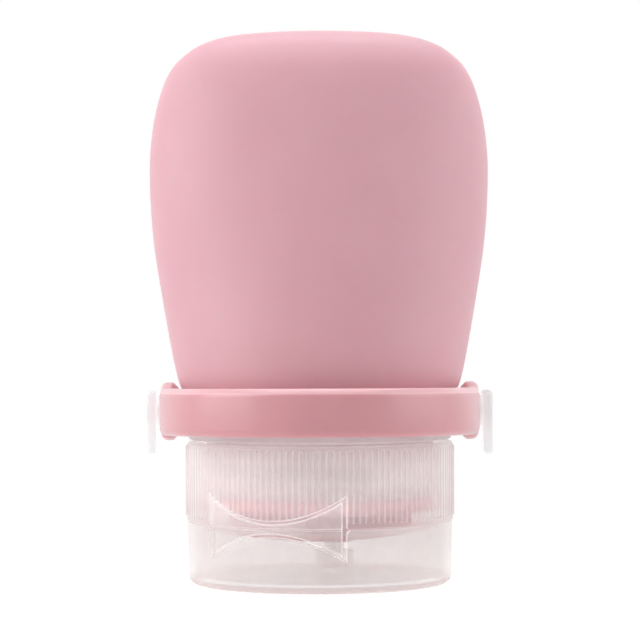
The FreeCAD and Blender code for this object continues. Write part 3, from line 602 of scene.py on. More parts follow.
# %% Strap eyes
EYE_RADIUS = 4.75 * MM
EYE_THICKNESS = 2.9 * MM
EYE_CHAMFER = 0.9 * MM
EYE_ROUND = 1.1 * MM
EYE_BORE = 2.51 * MM
HIGHLIGHT_TILT = 0.3


def stud_axis(side):
    """Carries the turning axis to the stud's axis on one side, so that heights point outwards."""
    return Matrix.Translation((0, 0, STUD_LEVEL)) @ Matrix.Rotation(side * math.pi / 2, 4, "Y")


eye_inner = strap_half_width - EYE_THICKNESS
eye_outline = filleted([
    (EYE_BORE, eye_inner, 0.15 * MM), (EYE_RADIUS - EYE_CHAMFER, eye_inner, 0.5 * MM),
    (EYE_RADIUS, eye_inner + EYE_CHAMFER, 0.5 * MM), (EYE_RADIUS, strap_half_width, EYE_ROUND),
    (EYE_BORE, strap_half_width, 0.2 * MM),
], steps=4)
eyes = [turned(f"eye_{side}", eye_outline, 96, stud_axis(side)) for side in (-1, 1)]
strap = piece("strap", combined("strap", band, eyes), strap_finish)
# Faces that turn upwards get the paler finish, a painted highlight.
strap.data.materials.append(strap_highlight_finish)
for face in strap.data.polygons:
    face.material_index = int(face.normal.z > HIGHLIGHT_TILT)
print("strap", len(strap.data.polygons), "faces")

# %% [markdown]
# The collar clips round the soft neck. Its plain ring shows as a thin line under the strap, and
# two T-shaped studs carry the strap's eyes: a boss, a round stud and an upright plate with soft
# corners that keeps the eye from slipping off.

# %% Neck collar
RING_COLUMNS = 360
RING_RADIUS = 21.5 * MM
RING_LOW = 23.55 * MM
COLLAR_BORE = 17.0 * MM
COLLAR_NECK = 18.5 * MM
GROOVE = 1.2 * MM
RING_ROUND = 0.4 * MM
MARK_AZIMUTHS = [math.radians(value) for value in (-26.2, 20.9, 153.8, 200.9)]
MARK_HALF_ANGLE = math.radians(0.6)
MARK_HEIGHT = 0.16 * MM
BOSS_RADIUS = 2.95 * MM
BOSS_END = 22.95 * MM
STUD_RADIUS = 2.45 * MM
STUD_FOOT = 20.2 * MM
plate_outer = ring_high.x
PLATE_THICKNESS = 1.7 * MM
PLATE_TAPER = 0.18 * MM
PLATE_WIDTH = 5.6 * MM
PLATE_LOW = 21.1 * MM
PLATE_ROUND = 0.62 * MM
PLATE_EDGE = 0.4 * MM

collar_outline = filleted([
    (COLLAR_BORE, ring_low.z, 0), (COLLAR_NECK, ring_low.z, 0.2 * MM), (COLLAR_NECK, RING_LOW, 0.3 * MM),
    (RING_RADIUS, RING_LOW, RING_ROUND), (RING_RADIUS, SHOULDER, RING_ROUND), (COLLAR_BORE, SHOULDER, 0),
    (COLLAR_BORE, BEAD_LEVEL + BEAD_HALF + 0.1 * MM, 0),
    (COLLAR_BORE + GROOVE, BEAD_LEVEL + BEAD_HALF + 0.1 * MM, 0),
    (COLLAR_BORE + GROOVE, BEAD_LEVEL - BEAD_HALF - 0.1 * MM, 0),
    (COLLAR_BORE, BEAD_LEVEL - BEAD_HALF - 0.1 * MM, 0),
])
azimuths = [2 * math.pi * column / RING_COLUMNS for column in range(RING_COLUMNS)]
for mark in MARK_AZIMUTHS:
    for share in (-1.4, -1, -0.4, 0.4, 1, 1.4):
        azimuths.append((mark + MARK_HALF_ANGLE * share) % (2 * math.pi))


def mark_rise(azimuth):
    """How far an index mark lifts the ring's face at an azimuth."""
    apart = min(abs(math.remainder(azimuth - mark, 2 * math.pi)) for mark in MARK_AZIMUTHS)
    return MARK_HEIGHT * max(0.0, min(1.0, 1.6 - 1.2 * apart / MARK_HALF_ANGLE))


rings = []
for azimuth in sorted(azimuths):
    lift = mark_rise(azimuth)
    rings.append([
        around(radius + (lift if radius > RING_RADIUS - MERGE_DISTANCE else 0), azimuth, height)
        for radius, height in collar_outline
    ])
collar_ring = skin("collar_ring", rings, joined=True)

# %% [markdown]
# Each stud ends in an upright plate. The plate, the boss and the round stud are joined to the ring,
# so the collar is one moulding. The studs are denser than the ring.

# %% Studs
def stud_plate(side):
    """An upright plate, thinner towards its lower end, with soft corners and edges."""
    inner = plate_outer - PLATE_THICKNESS
    corners = [
        (inner + PLATE_TAPER, PLATE_LOW, PLATE_ROUND * 0.7), (plate_outer, PLATE_LOW, PLATE_ROUND * 0.7),
        (plate_outer, ring_high.z, PLATE_ROUND), (inner, ring_high.z, PLATE_ROUND),
    ]
    outline = filleted(corners, steps=6)
    middle = Vector(((inner + plate_outer) / 2, (PLATE_LOW + ring_high.z) / 2))
    rings = []
    half = PLATE_WIDTH / 2
    for share in (1.0, 0.7, 0.4, 0.15, 0.0):
        draw = PLATE_EDGE * (1 - math.sqrt(1 - share ** 2))
        depth = half - PLATE_EDGE + PLATE_EDGE * share
        rings.append((draw, -depth))
    rings += [(draw, -depth) for draw, depth in reversed(rings)]
    sections = []
    for draw, depth in rings:
        section = []
        for point in outline:
            away = point - middle
            across = away.x * (1 - draw / (PLATE_THICKNESS / 2))
            up = away.y - math.copysign(min(draw, abs(away.y)), away.y)
            section.append(Vector((side * (middle.x + across), depth, middle.y + up)))
        sections.append(section)
    return skin("stud_plate", sections, capped=True)


stud_end = plate_outer - PLATE_THICKNESS / 2
stud_outline = [
    (0, STUD_FOOT), (BOSS_RADIUS, STUD_FOOT), (BOSS_RADIUS, BOSS_END), (STUD_RADIUS, BOSS_END),
    (STUD_RADIUS, stud_end), (0, stud_end),
]
studs = []
for side in (-1, 1):
    studs += [turned("stud", stud_outline, 60, stud_axis(side)), stud_plate(side)]
collar = piece("collar", combined("collar", collar_ring, studs), collar_finish)
collar.data.materials.append(stud_finish)
for face in collar.data.polygons:
    face.material_index = int(abs(face.center.x) > BOSS_END)
print("collar", len(collar.data.polygons), "faces")

# %% [markdown]
# Threads follow a path, so Geometry Nodes make them: a spiral carries a trapezium round the neck,
# and the same tree with other sizes makes the thread inside the cap. The result is turned into a
# plain mesh, because the finished model keeps no modifiers.

# %% Thread tree
def new_tree(name, inputs):
    """A geometry tree with named inputs. Returns the tree, its input sockets and its output node."""
    group = bpy.data.node_groups.new(name, "GeometryNodeTree")
    group.interface.new_socket("Geometry", in_out="OUTPUT", socket_type="NodeSocketGeometry")
    group.interface.new_socket("Geometry", in_out="INPUT", socket_type="NodeSocketGeometry")
    for label, kind in inputs:
        group.interface.new_socket(label, in_out="INPUT", socket_type=f"NodeSocket{kind}")
    tree = Tree(group)
    entry = tree.add("NodeGroupInput")
    leave = tree.add("NodeGroupOutput")
    return group, tree, entry.outputs, leave.inputs


def grown(name, mesh, group, values):
    """The mesh that a geometry tree makes, with its inputs set by socket identifier."""
    item = bpy.data.objects.new(name, mesh)
    bpy.context.scene.collection.objects.link(item)
    step = item.modifiers.new(name, "NODES")
    step.node_group = group
    for socket in group.interface.items_tree:
        if socket.in_out == "INPUT" and socket.name in values:
            step[socket.identifier] = values[socket.name]
    return clean(baked(item))


thread_group, tree, entry, leave = new_tree("thread", [
    ("Radius", "Float"), ("Pitch", "Float"), ("Turns", "Float"), ("Root", "Float"), ("Crest", "Float"),
    ("Depth", "Float"), ("Start", "Float"), ("Material", "Material"),
])
spiral = tree.add("GeometryNodeCurveSpiral", {
    "Resolution": 96, "Rotations": entry["Turns"],
    "Start Radius": entry["Radius"], "End Radius": entry["Radius"],
    "Height": tree.math("MULTIPLY", entry["Pitch"], entry["Turns"]),
})
upright = tree.add("GeometryNodeSetCurveNormal", {"Curve": spiral.outputs[0]}, mode="Z_UP")
section = tree.add("GeometryNodeCurvePrimitiveQuadrilateral", {
    "Bottom Width": entry["Root"], "Top Width": entry["Crest"], "Height": entry["Depth"], "Offset": 0.0,
}, mode="TRAPEZOID")
upended = tree.add("GeometryNodeTransform", {
    "Geometry": section.outputs[0], "Rotation": (0, 0, math.pi / 2),
})
sweep = tree.add("GeometryNodeCurveToMesh", {
    "Curve": upright.outputs[0], "Profile Curve": upended.outputs[0], "Fill Caps": True,
})
lift = tree.add("ShaderNodeCombineXYZ", {"Z": entry["Start"]})
raised = tree.add("GeometryNodeTransform", {"Geometry": sweep.outputs[0], "Translation": lift.outputs[0]})
solid = tree.add("GeometryNodeRealizeInstances", {"Geometry": raised.outputs[0]})
finish = tree.add("GeometryNodeSetMaterial", {"Geometry": solid.outputs[0], "Material": entry["Material"]})
tree.tree.links.new(finish.outputs[0], leave["Geometry"])

# %% [markdown]
# The neck's thread is one and a half turns of that tree. It bites a little into the neck.

# %% Neck thread
THREAD_PITCH = 3.0 * MM
THREAD_DEPTH = 1.05 * MM
THREAD_BITE = 0.3 * MM
THREAD_ROOT = 1.7 * MM
THREAD_CREST = 0.7 * MM
thread_middle = COLLAR_NECK + (THREAD_DEPTH - THREAD_BITE) / 2
neck_thread = piece("neck_thread", grown("neck_thread", bpy.data.meshes.new("seed"), thread_group, {
    "Radius": thread_middle, "Pitch": THREAD_PITCH, "Turns": 1.5,
    "Root": THREAD_ROOT, "Crest": THREAD_CREST,
    "Depth": THREAD_DEPTH + THREAD_BITE, "Start": 16.55 * MM, "Material": collar_finish,
}), collar_finish)
print("neck thread", len(neck_thread.data.polygons), "faces")

# %% [markdown]
# The bow tie. Lid and skirt are moulded in one with a butterfly-shaped hinge between them: a
# plate with a narrow waist, bounded by two arcs. The skirt, the lid and the plate all follow the
# same arcs, so the arcs are written once, as a half height at a place across the hinge.

# %% Bow-tie outline
lid_joint = next(joint for joint in frame["joints"] if joint["name"] == "lid_flip")
hinge_place = Vector(lid_joint["pos_m"])
hinge_azimuth = math.atan2(hinge_place.x, -hinge_place.y)
HINGE_HALF_WIDTH = 11.1 * MM
HINGE_HALF_END = 4.35 * MM
HINGE_HALF_WAIST = 0.85 * MM
HINGE_PLATE = 1.0 * MM
HINGE_GROOVE = 0.3 * MM
HINGE_SLOT = 0.65 * MM
HINGE_BACK_GAP = 0.15 * MM
hinge_sag = HINGE_HALF_END - HINGE_HALF_WAIST
hinge_curve = (HINGE_HALF_WIDTH ** 2 + hinge_sag ** 2) / (2 * hinge_sag)
lid_radius = hinge_place.xy.length
window_half_angle = math.asin((HINGE_HALF_WIDTH + HINGE_SLOT) / lid_radius)
plate_half_angle = math.asin(HINGE_HALF_WIDTH / lid_radius)


def bow_tie(across, groove):
    """Half height of the bow tie at a distance across it, grown by a groove."""
    return HINGE_HALF_WAIST + hinge_curve - math.sqrt((hinge_curve - groove) ** 2 - across ** 2)


def from_hinge(azimuth):
    """Azimuth counted from the hinge's middle."""
    return math.remainder(azimuth - hinge_azimuth, 2 * math.pi)


# %% [markdown]
# The screw cap. Its skirt is a wall with fine upright ribs all round, a domed deck across it and a
# snap lip that goes into the lid. It is turned column by column, because the columns in front of
# the hinge step back to make room for the plate. Each point carries a share that says how much
# rib it gets, and a small geometry tree then lifts the ribs out of the wall. A shallow scoop for the
# thumb is cut into the skirt's lower edge, opposite the hinge.

# %% Rib tree
ribs_group, tree, entry, leave = new_tree("ribs", [
    ("Count", "Float"), ("Rise", "Float"), ("Sharpness", "Float"), ("Material", "Material"),
])
place = tree.add("ShaderNodeSeparateXYZ", {0: tree.add("GeometryNodeInputPosition").outputs[0]}).outputs
azimuth = tree.math("ARCTAN2", place["X"], tree.math("MULTIPLY", place["Y"], -1.0))
wave = tree.math("COSINE", tree.math("MULTIPLY", azimuth, entry["Count"]))
above = tree.math("ADD", tree.math("MULTIPLY", wave, 0.5), 0.5)
crest = tree.math("POWER", above, entry["Sharpness"])
share = tree.add("GeometryNodeInputNamedAttribute", {"Name": "rib_share"}, data_type="FLOAT").outputs[0]
rise = tree.math("MULTIPLY", tree.math("MULTIPLY", crest, share), entry["Rise"])
flat = tree.add("ShaderNodeCombineXYZ", {"X": place["X"], "Y": place["Y"]}).outputs[0]
outward = tree.add("ShaderNodeVectorMath", {0: flat}, operation="NORMALIZE").outputs[0]
offset = tree.add("ShaderNodeVectorMath", {0: outward, "Scale": rise}, operation="SCALE").outputs[0]
lifted = tree.add("GeometryNodeSetPosition", {"Geometry": entry["Geometry"], "Offset": offset})
solid = tree.add("GeometryNodeRealizeInstances", {"Geometry": lifted.outputs[0]})
finish = tree.add("GeometryNodeSetMaterial", {"Geometry": solid.outputs[0], "Material": entry["Material"]})
tree.tree.links.new(finish.outputs[0], leave["Geometry"])

# %% [markdown]
# The cap's sizes. The skirt is as wide as the measured cap less the ribs, and the seam lies just over
# the lid, so only the small sizes of the moulding are set here.

# %% Cap sizes
cap_low, cap_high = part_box("cap_base")
RIB_COUNT = 131
RIB_HEIGHT = 0.26 * MM
RIB_SHARPNESS = 1.6
RIB_COLUMNS = 8
RIB_MARGIN = 0.6 * MM
RIB_FADE = 0.3 * MM
SKIRT_WALL = 1.89 * MM
SEAM_GAP = 0.2 * MM
SKIRT_ROUND = 0.5 * MM
SEAM_ROUND = 0.18 * MM
STEP_ROUND = 0.3 * MM
LEDGE_RISE = 1.8 * MM
LEDGE_RADIUS = 15.05 * MM
LIP_DEPTH = 1.1 * MM
LIP_RADIUS = 20.25 * MM
LIP_WALL = 1.2 * MM
LIP_EDGE = 0.3 * MM
DOME_DROP = 2.3 * MM
DECK_WALL = 1.3 * MM
SCOOP_RADIUS = 8.0 * MM
SCOOP_RISE = 2.4 * MM
SCOOP_DEPTH = 0.9 * MM
skirt_radius = cap_high.x - RIB_HEIGHT
cap_bore = skirt_radius - SKIRT_WALL
lid_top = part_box("flip_lid")[1].z
seam = lid_top + SEAM_GAP
skirt_top = cap_high.z
lip_level = seam - LIP_DEPTH
dome_radius = LIP_RADIUS - LIP_WALL
dome_curve = (dome_radius ** 2 + DOME_DROP ** 2) / (2 * DOME_DROP)
recess_radius = lid_radius - HINGE_PLATE - HINGE_BACK_GAP


def dome(radius):
    """Level of the deck's underside at a radius."""
    return lip_level - DOME_DROP + dome_curve - math.sqrt(dome_curve ** 2 - radius ** 2)


def arc(centre, radius, start, end, steps):
    """Points of an arc, with its angles in degrees."""
    turns = [math.radians(value) for value in spread(start, end, steps)]
    return [(centre[0] + radius * math.cos(turn), centre[1] + radius * math.sin(turn)) for turn in turns]


# %% [markdown]
# One column of the cap goes from the middle of the deck's top, over the gasket's ledge, up the bore,
# down the ribbed outside and back along the domed underside.

# %% Cap section
def cap_section(azimuth, stepped):
    """One column of the cap as (radius, height, rib share), from the deck's top round to its underside."""
    section = [(radius, dome(radius) + DECK_WALL, 0) for radius in spread(0, LEDGE_RADIUS, 7)]
    ledge = seam + LEDGE_RISE
    section += [(LEDGE_RADIUS, ledge, 0), (cap_bore, ledge, 0), (cap_bore, skirt_top, 0)]
    top_centre = (skirt_radius - SKIRT_ROUND, skirt_top - SKIRT_ROUND)
    section += [(radius, height, 0) for radius, height in arc(top_centre, SKIRT_ROUND, 90, 0, 5)]
    across = lid_radius * math.sin(from_hinge(azimuth))
    edge = lid_top + SEAM_GAP / 2 + bow_tie(across, HINGE_GROOVE) if stepped else seam + SEAM_ROUND
    high = skirt_top - RIB_MARGIN
    section += [(skirt_radius, high, 0), (skirt_radius, high - RIB_FADE / 2, 0.8)]
    section += [(skirt_radius, high - RIB_FADE, 1)]
    foot = edge + (STEP_ROUND if stepped else RIB_MARGIN)
    section += [(skirt_radius, height, 1) for height in spread(high - RIB_FADE, foot + RIB_FADE, 5)[1:]]
    section += [(skirt_radius, foot + RIB_FADE / 2, 1 if stepped else 0.8)]
    section += [(skirt_radius, foot, 1 if stepped else 0)]
    if stepped:
        turn = arc((skirt_radius - STEP_ROUND, foot), STEP_ROUND, 0, -90, 5)
        section += [(radius, height, 1 - index / 4) for index, (radius, height) in enumerate(turn)]
        section += [(recess_radius + 0.1 * MM, edge, 0), (recess_radius, edge - 0.1 * MM, 0)]
        section += [(recess_radius, seam + SEAM_ROUND, 0), (recess_radius - SEAM_ROUND, seam, 0)]
    else:
        turn = arc((skirt_radius - SEAM_ROUND, edge), SEAM_ROUND, 0, -90, 5)
        section += [(radius, height, 0) for radius, height in turn]
        section += [(skirt_radius - 2 * SEAM_ROUND, seam, 0)] * 3
        section += [(recess_radius - SEAM_ROUND, seam, 0)]
    section += [(LIP_RADIUS, seam, 0), (LIP_RADIUS, lip_level + LIP_EDGE, 0)]
    section += [(LIP_RADIUS - LIP_EDGE, lip_level, 0)]
    section += [(radius, dome(radius), 0) for radius in spread(dome_radius, 0, 9)]
    return section

# %% [markdown]
# The columns stand close enough to give each rib eight of them. At either end of the hinge's window
# two columns lie almost on one another, so that the step there is sharp.

# %% Cap columns
columns = []
for column in range(RIB_COUNT * RIB_COLUMNS):
    azimuth = 2 * math.pi * column / (RIB_COUNT * RIB_COLUMNS)
    columns.append((azimuth, abs(from_hinge(azimuth)) < window_half_angle))
for side in (-1, 1):
    end = (hinge_azimuth + side * window_half_angle) % (2 * math.pi)
    nudge = side * 1e-5
    columns += [(end + nudge, False), (end - nudge, True)]
columns.sort()
rings = []
shares = []
for azimuth, stepped in columns:
    section = cap_section(azimuth, stepped)
    rings.append([around(radius, azimuth, height) for radius, height, _ in section])
    shares += [share for _, _, share in section]
cap_mesh = columns_joined("screw_cap", rings)
cap_mesh.attributes.new("rib_share", "FLOAT", "POINT").data.foreach_set("value", shares)
cap_mesh = grown("screw_cap", cap_mesh, ribs_group, {
    "Count": float(RIB_COUNT), "Rise": RIB_HEIGHT, "Sharpness": RIB_SHARPNESS, "Material": skirt_finish,
})

# %% [markdown]
# The thumb scoop is a flat disc cut into the skirt. The deck gets a denser, pink finish, whose pink is
# painted light from the body shining through it, and the thread inside the cap comes from the thread tree.

# %% Thumb scoop and cap thread
away_from_hinge = around(1, hinge_azimuth + math.pi, 0)
scoop_place = Matrix.Translation((0, 0, seam + SCOOP_RISE - SCOOP_RADIUS))
scoop_place = scoop_place @ away_from_hinge.to_track_quat("Z", "Y").to_matrix().to_4x4()
scoop = turned("scoop", [
    (0, skirt_radius - SCOOP_DEPTH), (SCOOP_RADIUS, skirt_radius - SCOOP_DEPTH),
    (SCOOP_RADIUS, skirt_radius + SCOOP_DEPTH), (0, skirt_radius + SCOOP_DEPTH),
], 128, scoop_place)
screw_cap = piece("screw_cap", combined("screw_cap", cap_mesh, [scoop], "DIFFERENCE"), skirt_finish)
# The deck's faces get the pink finish, painted light from the body.
screw_cap.data.materials.append(deck_pink_light_finish)
for face in screw_cap.data.polygons:
    face.material_index = int(face.center.xy.length < dome_radius)
print("screw cap", len(screw_cap.data.polygons), "faces")

cap_thread_middle = cap_bore - (THREAD_DEPTH - THREAD_BITE) / 2
cap_thread = piece("cap_thread", grown("cap_thread", bpy.data.meshes.new("seed"), thread_group, {
    "Radius": cap_thread_middle, "Pitch": THREAD_PITCH, "Turns": 1.0,
    "Root": THREAD_CREST, "Crest": THREAD_ROOT,
    "Depth": THREAD_DEPTH + THREAD_BITE, "Start": 17.6 * MM, "Material": skirt_finish,
}), skirt_finish)

# %% [markdown]
# The outlet sits off the cap's axis: a round well on the deck holds the valve, and a short nozzle
# under it meets the lid's plug. It is one turned tube, carried to its place beside the axis.

# %% Outlet
OUTLET_OFFSET = 6.5 * MM
outlet_place = Matrix.Translation(around(-OUTLET_OFFSET, hinge_azimuth, 0))
WELL_RADIUS = 6.4 * MM
WELL_WALL = 1.1 * MM
OUTLET_RADIUS = 1.9 * MM
NOZZLE_RADIUS = 3.0 * MM
well_foot = lip_level - DOME_DROP + DECK_WALL / 2
well_top = lip_level + 2.4 * MM
outlet_outline = filleted([
    (OUTLET_RADIUS, cap_low.z, 0.2 * MM), (NOZZLE_RADIUS, cap_low.z, 0.25 * MM),
    (NOZZLE_RADIUS, well_foot, 0), (WELL_RADIUS, well_foot, 0),
    (WELL_RADIUS, well_top, 0.2 * MM), (WELL_RADIUS - WELL_WALL, well_top, 0.2 * MM),
    (WELL_RADIUS - WELL_WALL, lip_level, 0), (OUTLET_RADIUS, lip_level, 0),
], steps=3)
outlet = piece("outlet", turned("outlet", outlet_outline, 96, outlet_place), skirt_finish)
print("outlet", len(outlet.data.polygons), "faces")

# %% [markdown]
# The lid is a shallow cup with a flat face, on which the bottle stands. Its rim dips under the
# bow tie, so each column of the wall has its own rim height. At the ends of the window the rim
# drops down a slot, and its corners are rounded, as a moulding's are. A plug stands on the floor.

# %% Flip lid
LID_DRAFT = 0.15 * MM
LID_WALL = 1.2 * MM
LID_FLOOR = 1.4 * MM
LID_CORNER = 1.5 * MM
LID_INNER_CORNER = 0.8 * MM
RIM_ROUND = 0.2 * MM
SLOT_ROUND = 0.38 * MM
RIM_CORNER = 0.5 * MM
hinge_level = hinge_place.z


def quarter(apart, radius):
    """How far a rounded corner falls short, at a distance along from its end."""
    if apart >= radius:
        return 0.0
    return radius - math.sqrt(radius ** 2 - (radius - max(apart, 0)) ** 2)


def rim_height(azimuth):
    """Level of the lid's rim, lower inside the hinge's window."""
    off = abs(from_hinge(azimuth))
    apart = (off - window_half_angle) * lid_radius
    if apart >= 0:
        return lid_top - quarter(apart, RIM_CORNER)
    across = lid_radius * math.sin(off)
    return hinge_level - bow_tie(across, HINGE_GROOVE) + quarter(-apart, SLOT_ROUND)


def lid_face(height):
    """Radius of the lid's outer face, which narrows a little towards the foot."""
    return lid_radius - LID_DRAFT * (1 - height / lid_top)


def lid_section(azimuth):
    """One column of the lid from the middle of its face round to the middle of its floor."""
    rim = rim_height(azimuth)
    outer = lid_face(rim)
    inner = outer - LID_WALL
    section = [(0, 0), (lid_radius * 0.5, 0)]
    section += arc((lid_radius - LID_DRAFT - LID_CORNER, LID_CORNER), LID_CORNER, -90, 0, 8)
    section += [(lid_face(height), height) for height in spread(LID_CORNER, rim - RIM_ROUND, 5)[1:-1]]
    section += arc((outer - RIM_ROUND, rim - RIM_ROUND), RIM_ROUND, 0, 90, 5)
    section += arc((inner + RIM_ROUND, rim - RIM_ROUND), RIM_ROUND, 90, 180, 5)
    foot = lid_radius - LID_DRAFT - LID_WALL
    low = LID_FLOOR + LID_INNER_CORNER
    high = rim - LID_INNER_CORNER
    section += [(foot + (inner - foot) * share, low + (high - low) * share) for share in (0.66, 0.33)]
    section += arc((foot - LID_INNER_CORNER, LID_FLOOR + LID_INNER_CORNER), LID_INNER_CORNER, 0, -90, 6)
    section += [(lid_radius * 0.5, LID_FLOOR), (0, LID_FLOOR)]
    return section

# %% [markdown]
# The lid's columns are closer at the ends of the window, where the rim turns down. The plug is a turned
# peg on the lid's floor, under the outlet. The foot is denser, because light meets more plastic there,
# and its darker pinkish-grey tone is painted shade with painted pink light from the body.

# %% Lid columns and plug
LID_COLUMNS = 480
lid_azimuths = [2 * math.pi * column / LID_COLUMNS for column in range(LID_COLUMNS)]
inside_corner = [-0.7, -0.5, -0.38, -0.3, -0.22, -0.15, -0.08, -0.03, -0.0005]
outside_corner = [0.0005, 0.02, 0.06, 0.12, 0.2, 0.3, 0.4, 0.5]
for side in (-1, 1):
    for apart in inside_corner + outside_corner:
        off = side * (window_half_angle + apart * MM / lid_radius)
        lid_azimuths.append((hinge_azimuth + off) % (2 * math.pi))
rings = []
for azimuth in sorted(lid_azimuths):
    rings.append([around(radius, azimuth, height) for radius, height in lid_section(azimuth)])
lid_mesh = clean(columns_joined("lid", rings))
PLUG_RADIUS = 3.15 * MM
PLUG_HEIGHT = 3.5 * MM
PIN_RADIUS = 1.6 * MM
PIN_TOP = 7.0 * MM
plug_outline = filleted([
    (0, LID_FLOOR - 0.3 * MM, 0), (PLUG_RADIUS, LID_FLOOR - 0.3 * MM, 0),
    (PLUG_RADIUS, LID_FLOOR + PLUG_HEIGHT, 0.35 * MM), (PIN_RADIUS, LID_FLOOR + PLUG_HEIGHT, 0.15 * MM),
    (PIN_RADIUS, PIN_TOP, 0.3 * MM), (0, PIN_TOP, 0),
], steps=4)
plug = turned("plug", plug_outline, 96, outlet_place)
lid = piece("lid", combined("lid", lid_mesh, [plug]), lid_finish)
# The foot's faces get the darker finish, painted shade.
lid.data.materials.append(foot_dense_shade_finish)
for face in lid.data.polygons:
    face.material_index = int(face.center.z < LID_FLOOR - RIM_ROUND)
print("lid", len(lid.data.polygons), "faces")

# %% [markdown]
# The hinge plate is a thin curved plate in the bow-tie window, with rounded edges that catch the
# light and a fold line across its waist.

# %% Hinge plate
PLATE_EDGE_ROUND = 0.4 * MM
FOLD_DEPTH = 0.3 * MM
FOLD_HALF = 0.22 * MM


def hinge_section(off):
    """One column of the hinge plate as a closed outline, seen from the side."""
    half = bow_tie(lid_radius * math.sin(off), 0)
    outer, inner = lid_radius, lid_radius - HINGE_PLATE
    section = arc((outer - PLATE_EDGE_ROUND, -half + PLATE_EDGE_ROUND), PLATE_EDGE_ROUND, -90, 0, 6)
    reach = half - PLATE_EDGE_ROUND
    fold = min(FOLD_HALF, reach * 0.5)
    section += [(outer, height) for height in spread(-reach, -fold, 6)[1:]]
    section += [(outer - FOLD_DEPTH * 0.8, -fold * 0.35), (outer - FOLD_DEPTH * 0.8, fold * 0.35)]
    section += [(outer, height) for height in spread(fold, reach, 6)[:-1]]
    section += arc((outer - PLATE_EDGE_ROUND, half - PLATE_EDGE_ROUND), PLATE_EDGE_ROUND, 0, 90, 6)
    section += [(inner + 0.1 * MM, half), (inner, half - 0.1 * MM)]
    section += [(inner, height) for height in spread(half - 0.1 * MM, -half + 0.1 * MM, 12)[1:-1]]
    section += [(inner, -half + 0.1 * MM), (inner + 0.1 * MM, -half)]
    return [around(radius, hinge_azimuth + off, hinge_level + height) for radius, height in section]


rings = [hinge_section(off) for off in spread(-plate_half_angle, plate_half_angle, 97)]
hinge = piece("hinge", skin("hinge", rings, capped=True), hinge_finish)
print("hinge", len(hinge.data.polygons), "faces")

# %% [markdown]
# Light that enters the clear plastic runs along inside it and leaves at the edges, so the rounded
# edges round the bow tie shine as thin white lines, and the crests of the ribs as fainter ones. These
# lines are painted: the faces along them get paler, less clear finishes, which are painted highlights.

# %% Painted highlights on edges
EDGE_LINE = 0.3 * MM
CREST_SHARE = 0.6


def paint_highlight(item, is_edge, finish):
    """Give a painted-highlight finish to the faces that a test picks, by azimuth from the hinge, radius
    and height.
    """
    item.data.materials.append(finish)
    picked = 0
    for face in item.data.polygons:
        middle = face.center
        off = from_hinge(math.atan2(middle.x, -middle.y))
        if is_edge(off, middle.xy.length, middle.z):
            face.material_index = len(item.data.materials) - 1
            picked += 1
    print(item.name, picked, "bright faces")


def on_plate_edge(off, radius, height):
    half = bow_tie(lid_radius * math.sin(off), 0)
    to_arc = half - abs(height - hinge_level)
    to_end = (plate_half_angle - abs(off)) * lid_radius
    return radius > lid_radius - PLATE_EDGE_ROUND and min(to_arc, to_end) < EDGE_LINE


def on_step_edge(off, radius, height):
    if abs(off) > window_half_angle + 2e-5 or radius < recess_radius + 0.2 * MM:
        return False
    edge = hinge_level + bow_tie(lid_radius * math.sin(off), HINGE_GROOVE)
    return height < edge + STEP_ROUND


def on_lid_edge(off, radius, height):
    if abs(off) > window_half_angle + RIM_CORNER / lid_radius or radius < lid_radius - LID_WALL / 2:
        return False
    return height > rim_height(off + hinge_azimuth) - EDGE_LINE


def on_rib_crest(off, radius, height):
    crest = math.cos((off + hinge_azimuth) * RIB_COUNT) > CREST_SHARE
    return crest and radius > skirt_radius + RIB_HEIGHT / 3 and height > seam + RIB_MARGIN


# Faces along the bow tie's edges and on the rib crests get paler finishes: painted highlights.
paint_highlight(hinge, on_plate_edge, edge_highlight_finish)
paint_highlight(screw_cap, on_rib_crest, rib_highlight_finish)
paint_highlight(screw_cap, on_step_edge, edge_highlight_finish)
paint_highlight(lid, on_lid_edge, edge_highlight_finish)

# %% [markdown]
# The soft pieces inside the cap show through its wall. The sealing ring is turned with a bead on
# either face, which presses on the ledge and on the neck. The valve is a thin disc with a raised
# crown, cut by a crossed slit. The two stiff rings keep their measured shape and get a finish.

# %% Inner pieces
GASKET_WIDTH = 3.0 * MM
GASKET_ROUND = 0.6 * MM
GASKET_BEAD = 0.25 * MM
gasket_low, gasket_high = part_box("cap_gasket")
gasket_radius = gasket_high.x
gasket_inner = gasket_radius - GASKET_WIDTH
gasket_middle = gasket_radius - GASKET_WIDTH / 2
gasket_outline = filleted([
    (gasket_inner, gasket_low.z + GASKET_BEAD, GASKET_ROUND), (gasket_middle, gasket_low.z, GASKET_ROUND),
    (gasket_radius, gasket_low.z + GASKET_BEAD, GASKET_ROUND),
    (gasket_radius, gasket_high.z - GASKET_BEAD, GASKET_ROUND),
    (gasket_middle, gasket_high.z, GASKET_ROUND),
    (gasket_inner, gasket_high.z - GASKET_BEAD, GASKET_ROUND),
], steps=4)
sealing_ring = piece("sealing_ring", turned("sealing_ring", gasket_outline, 128), gasket_finish)

# %% [markdown]
# The valve is turned from two shallow vaults, and two thin bars cut the crossed slit.

# %% Valve
VALVE_FLANGE = 0.9 * MM
VALVE_MEMBRANE = 0.6 * MM
CROWN_RADIUS = 2.9 * MM
SLIT_LENGTH = 3.0 * MM
SLIT_WIDTH = 0.2 * MM
VALVE_GAP = 0.05 * MM
VALVE_EDGE = 0.15 * MM
valve_low, valve_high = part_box("drip_valve")
valve_radius = WELL_RADIUS - WELL_WALL - VALVE_GAP
rim_top = valve_low.z + VALVE_FLANGE


def vault(radius, foot, top, share):
    """A point of a shallow vault between its foot, at a radius, and its top on the axis."""
    rise = top - foot
    curve = (radius ** 2 + rise ** 2) / (2 * rise)
    return radius * share, top - curve + math.sqrt(curve ** 2 - (radius * share) ** 2)


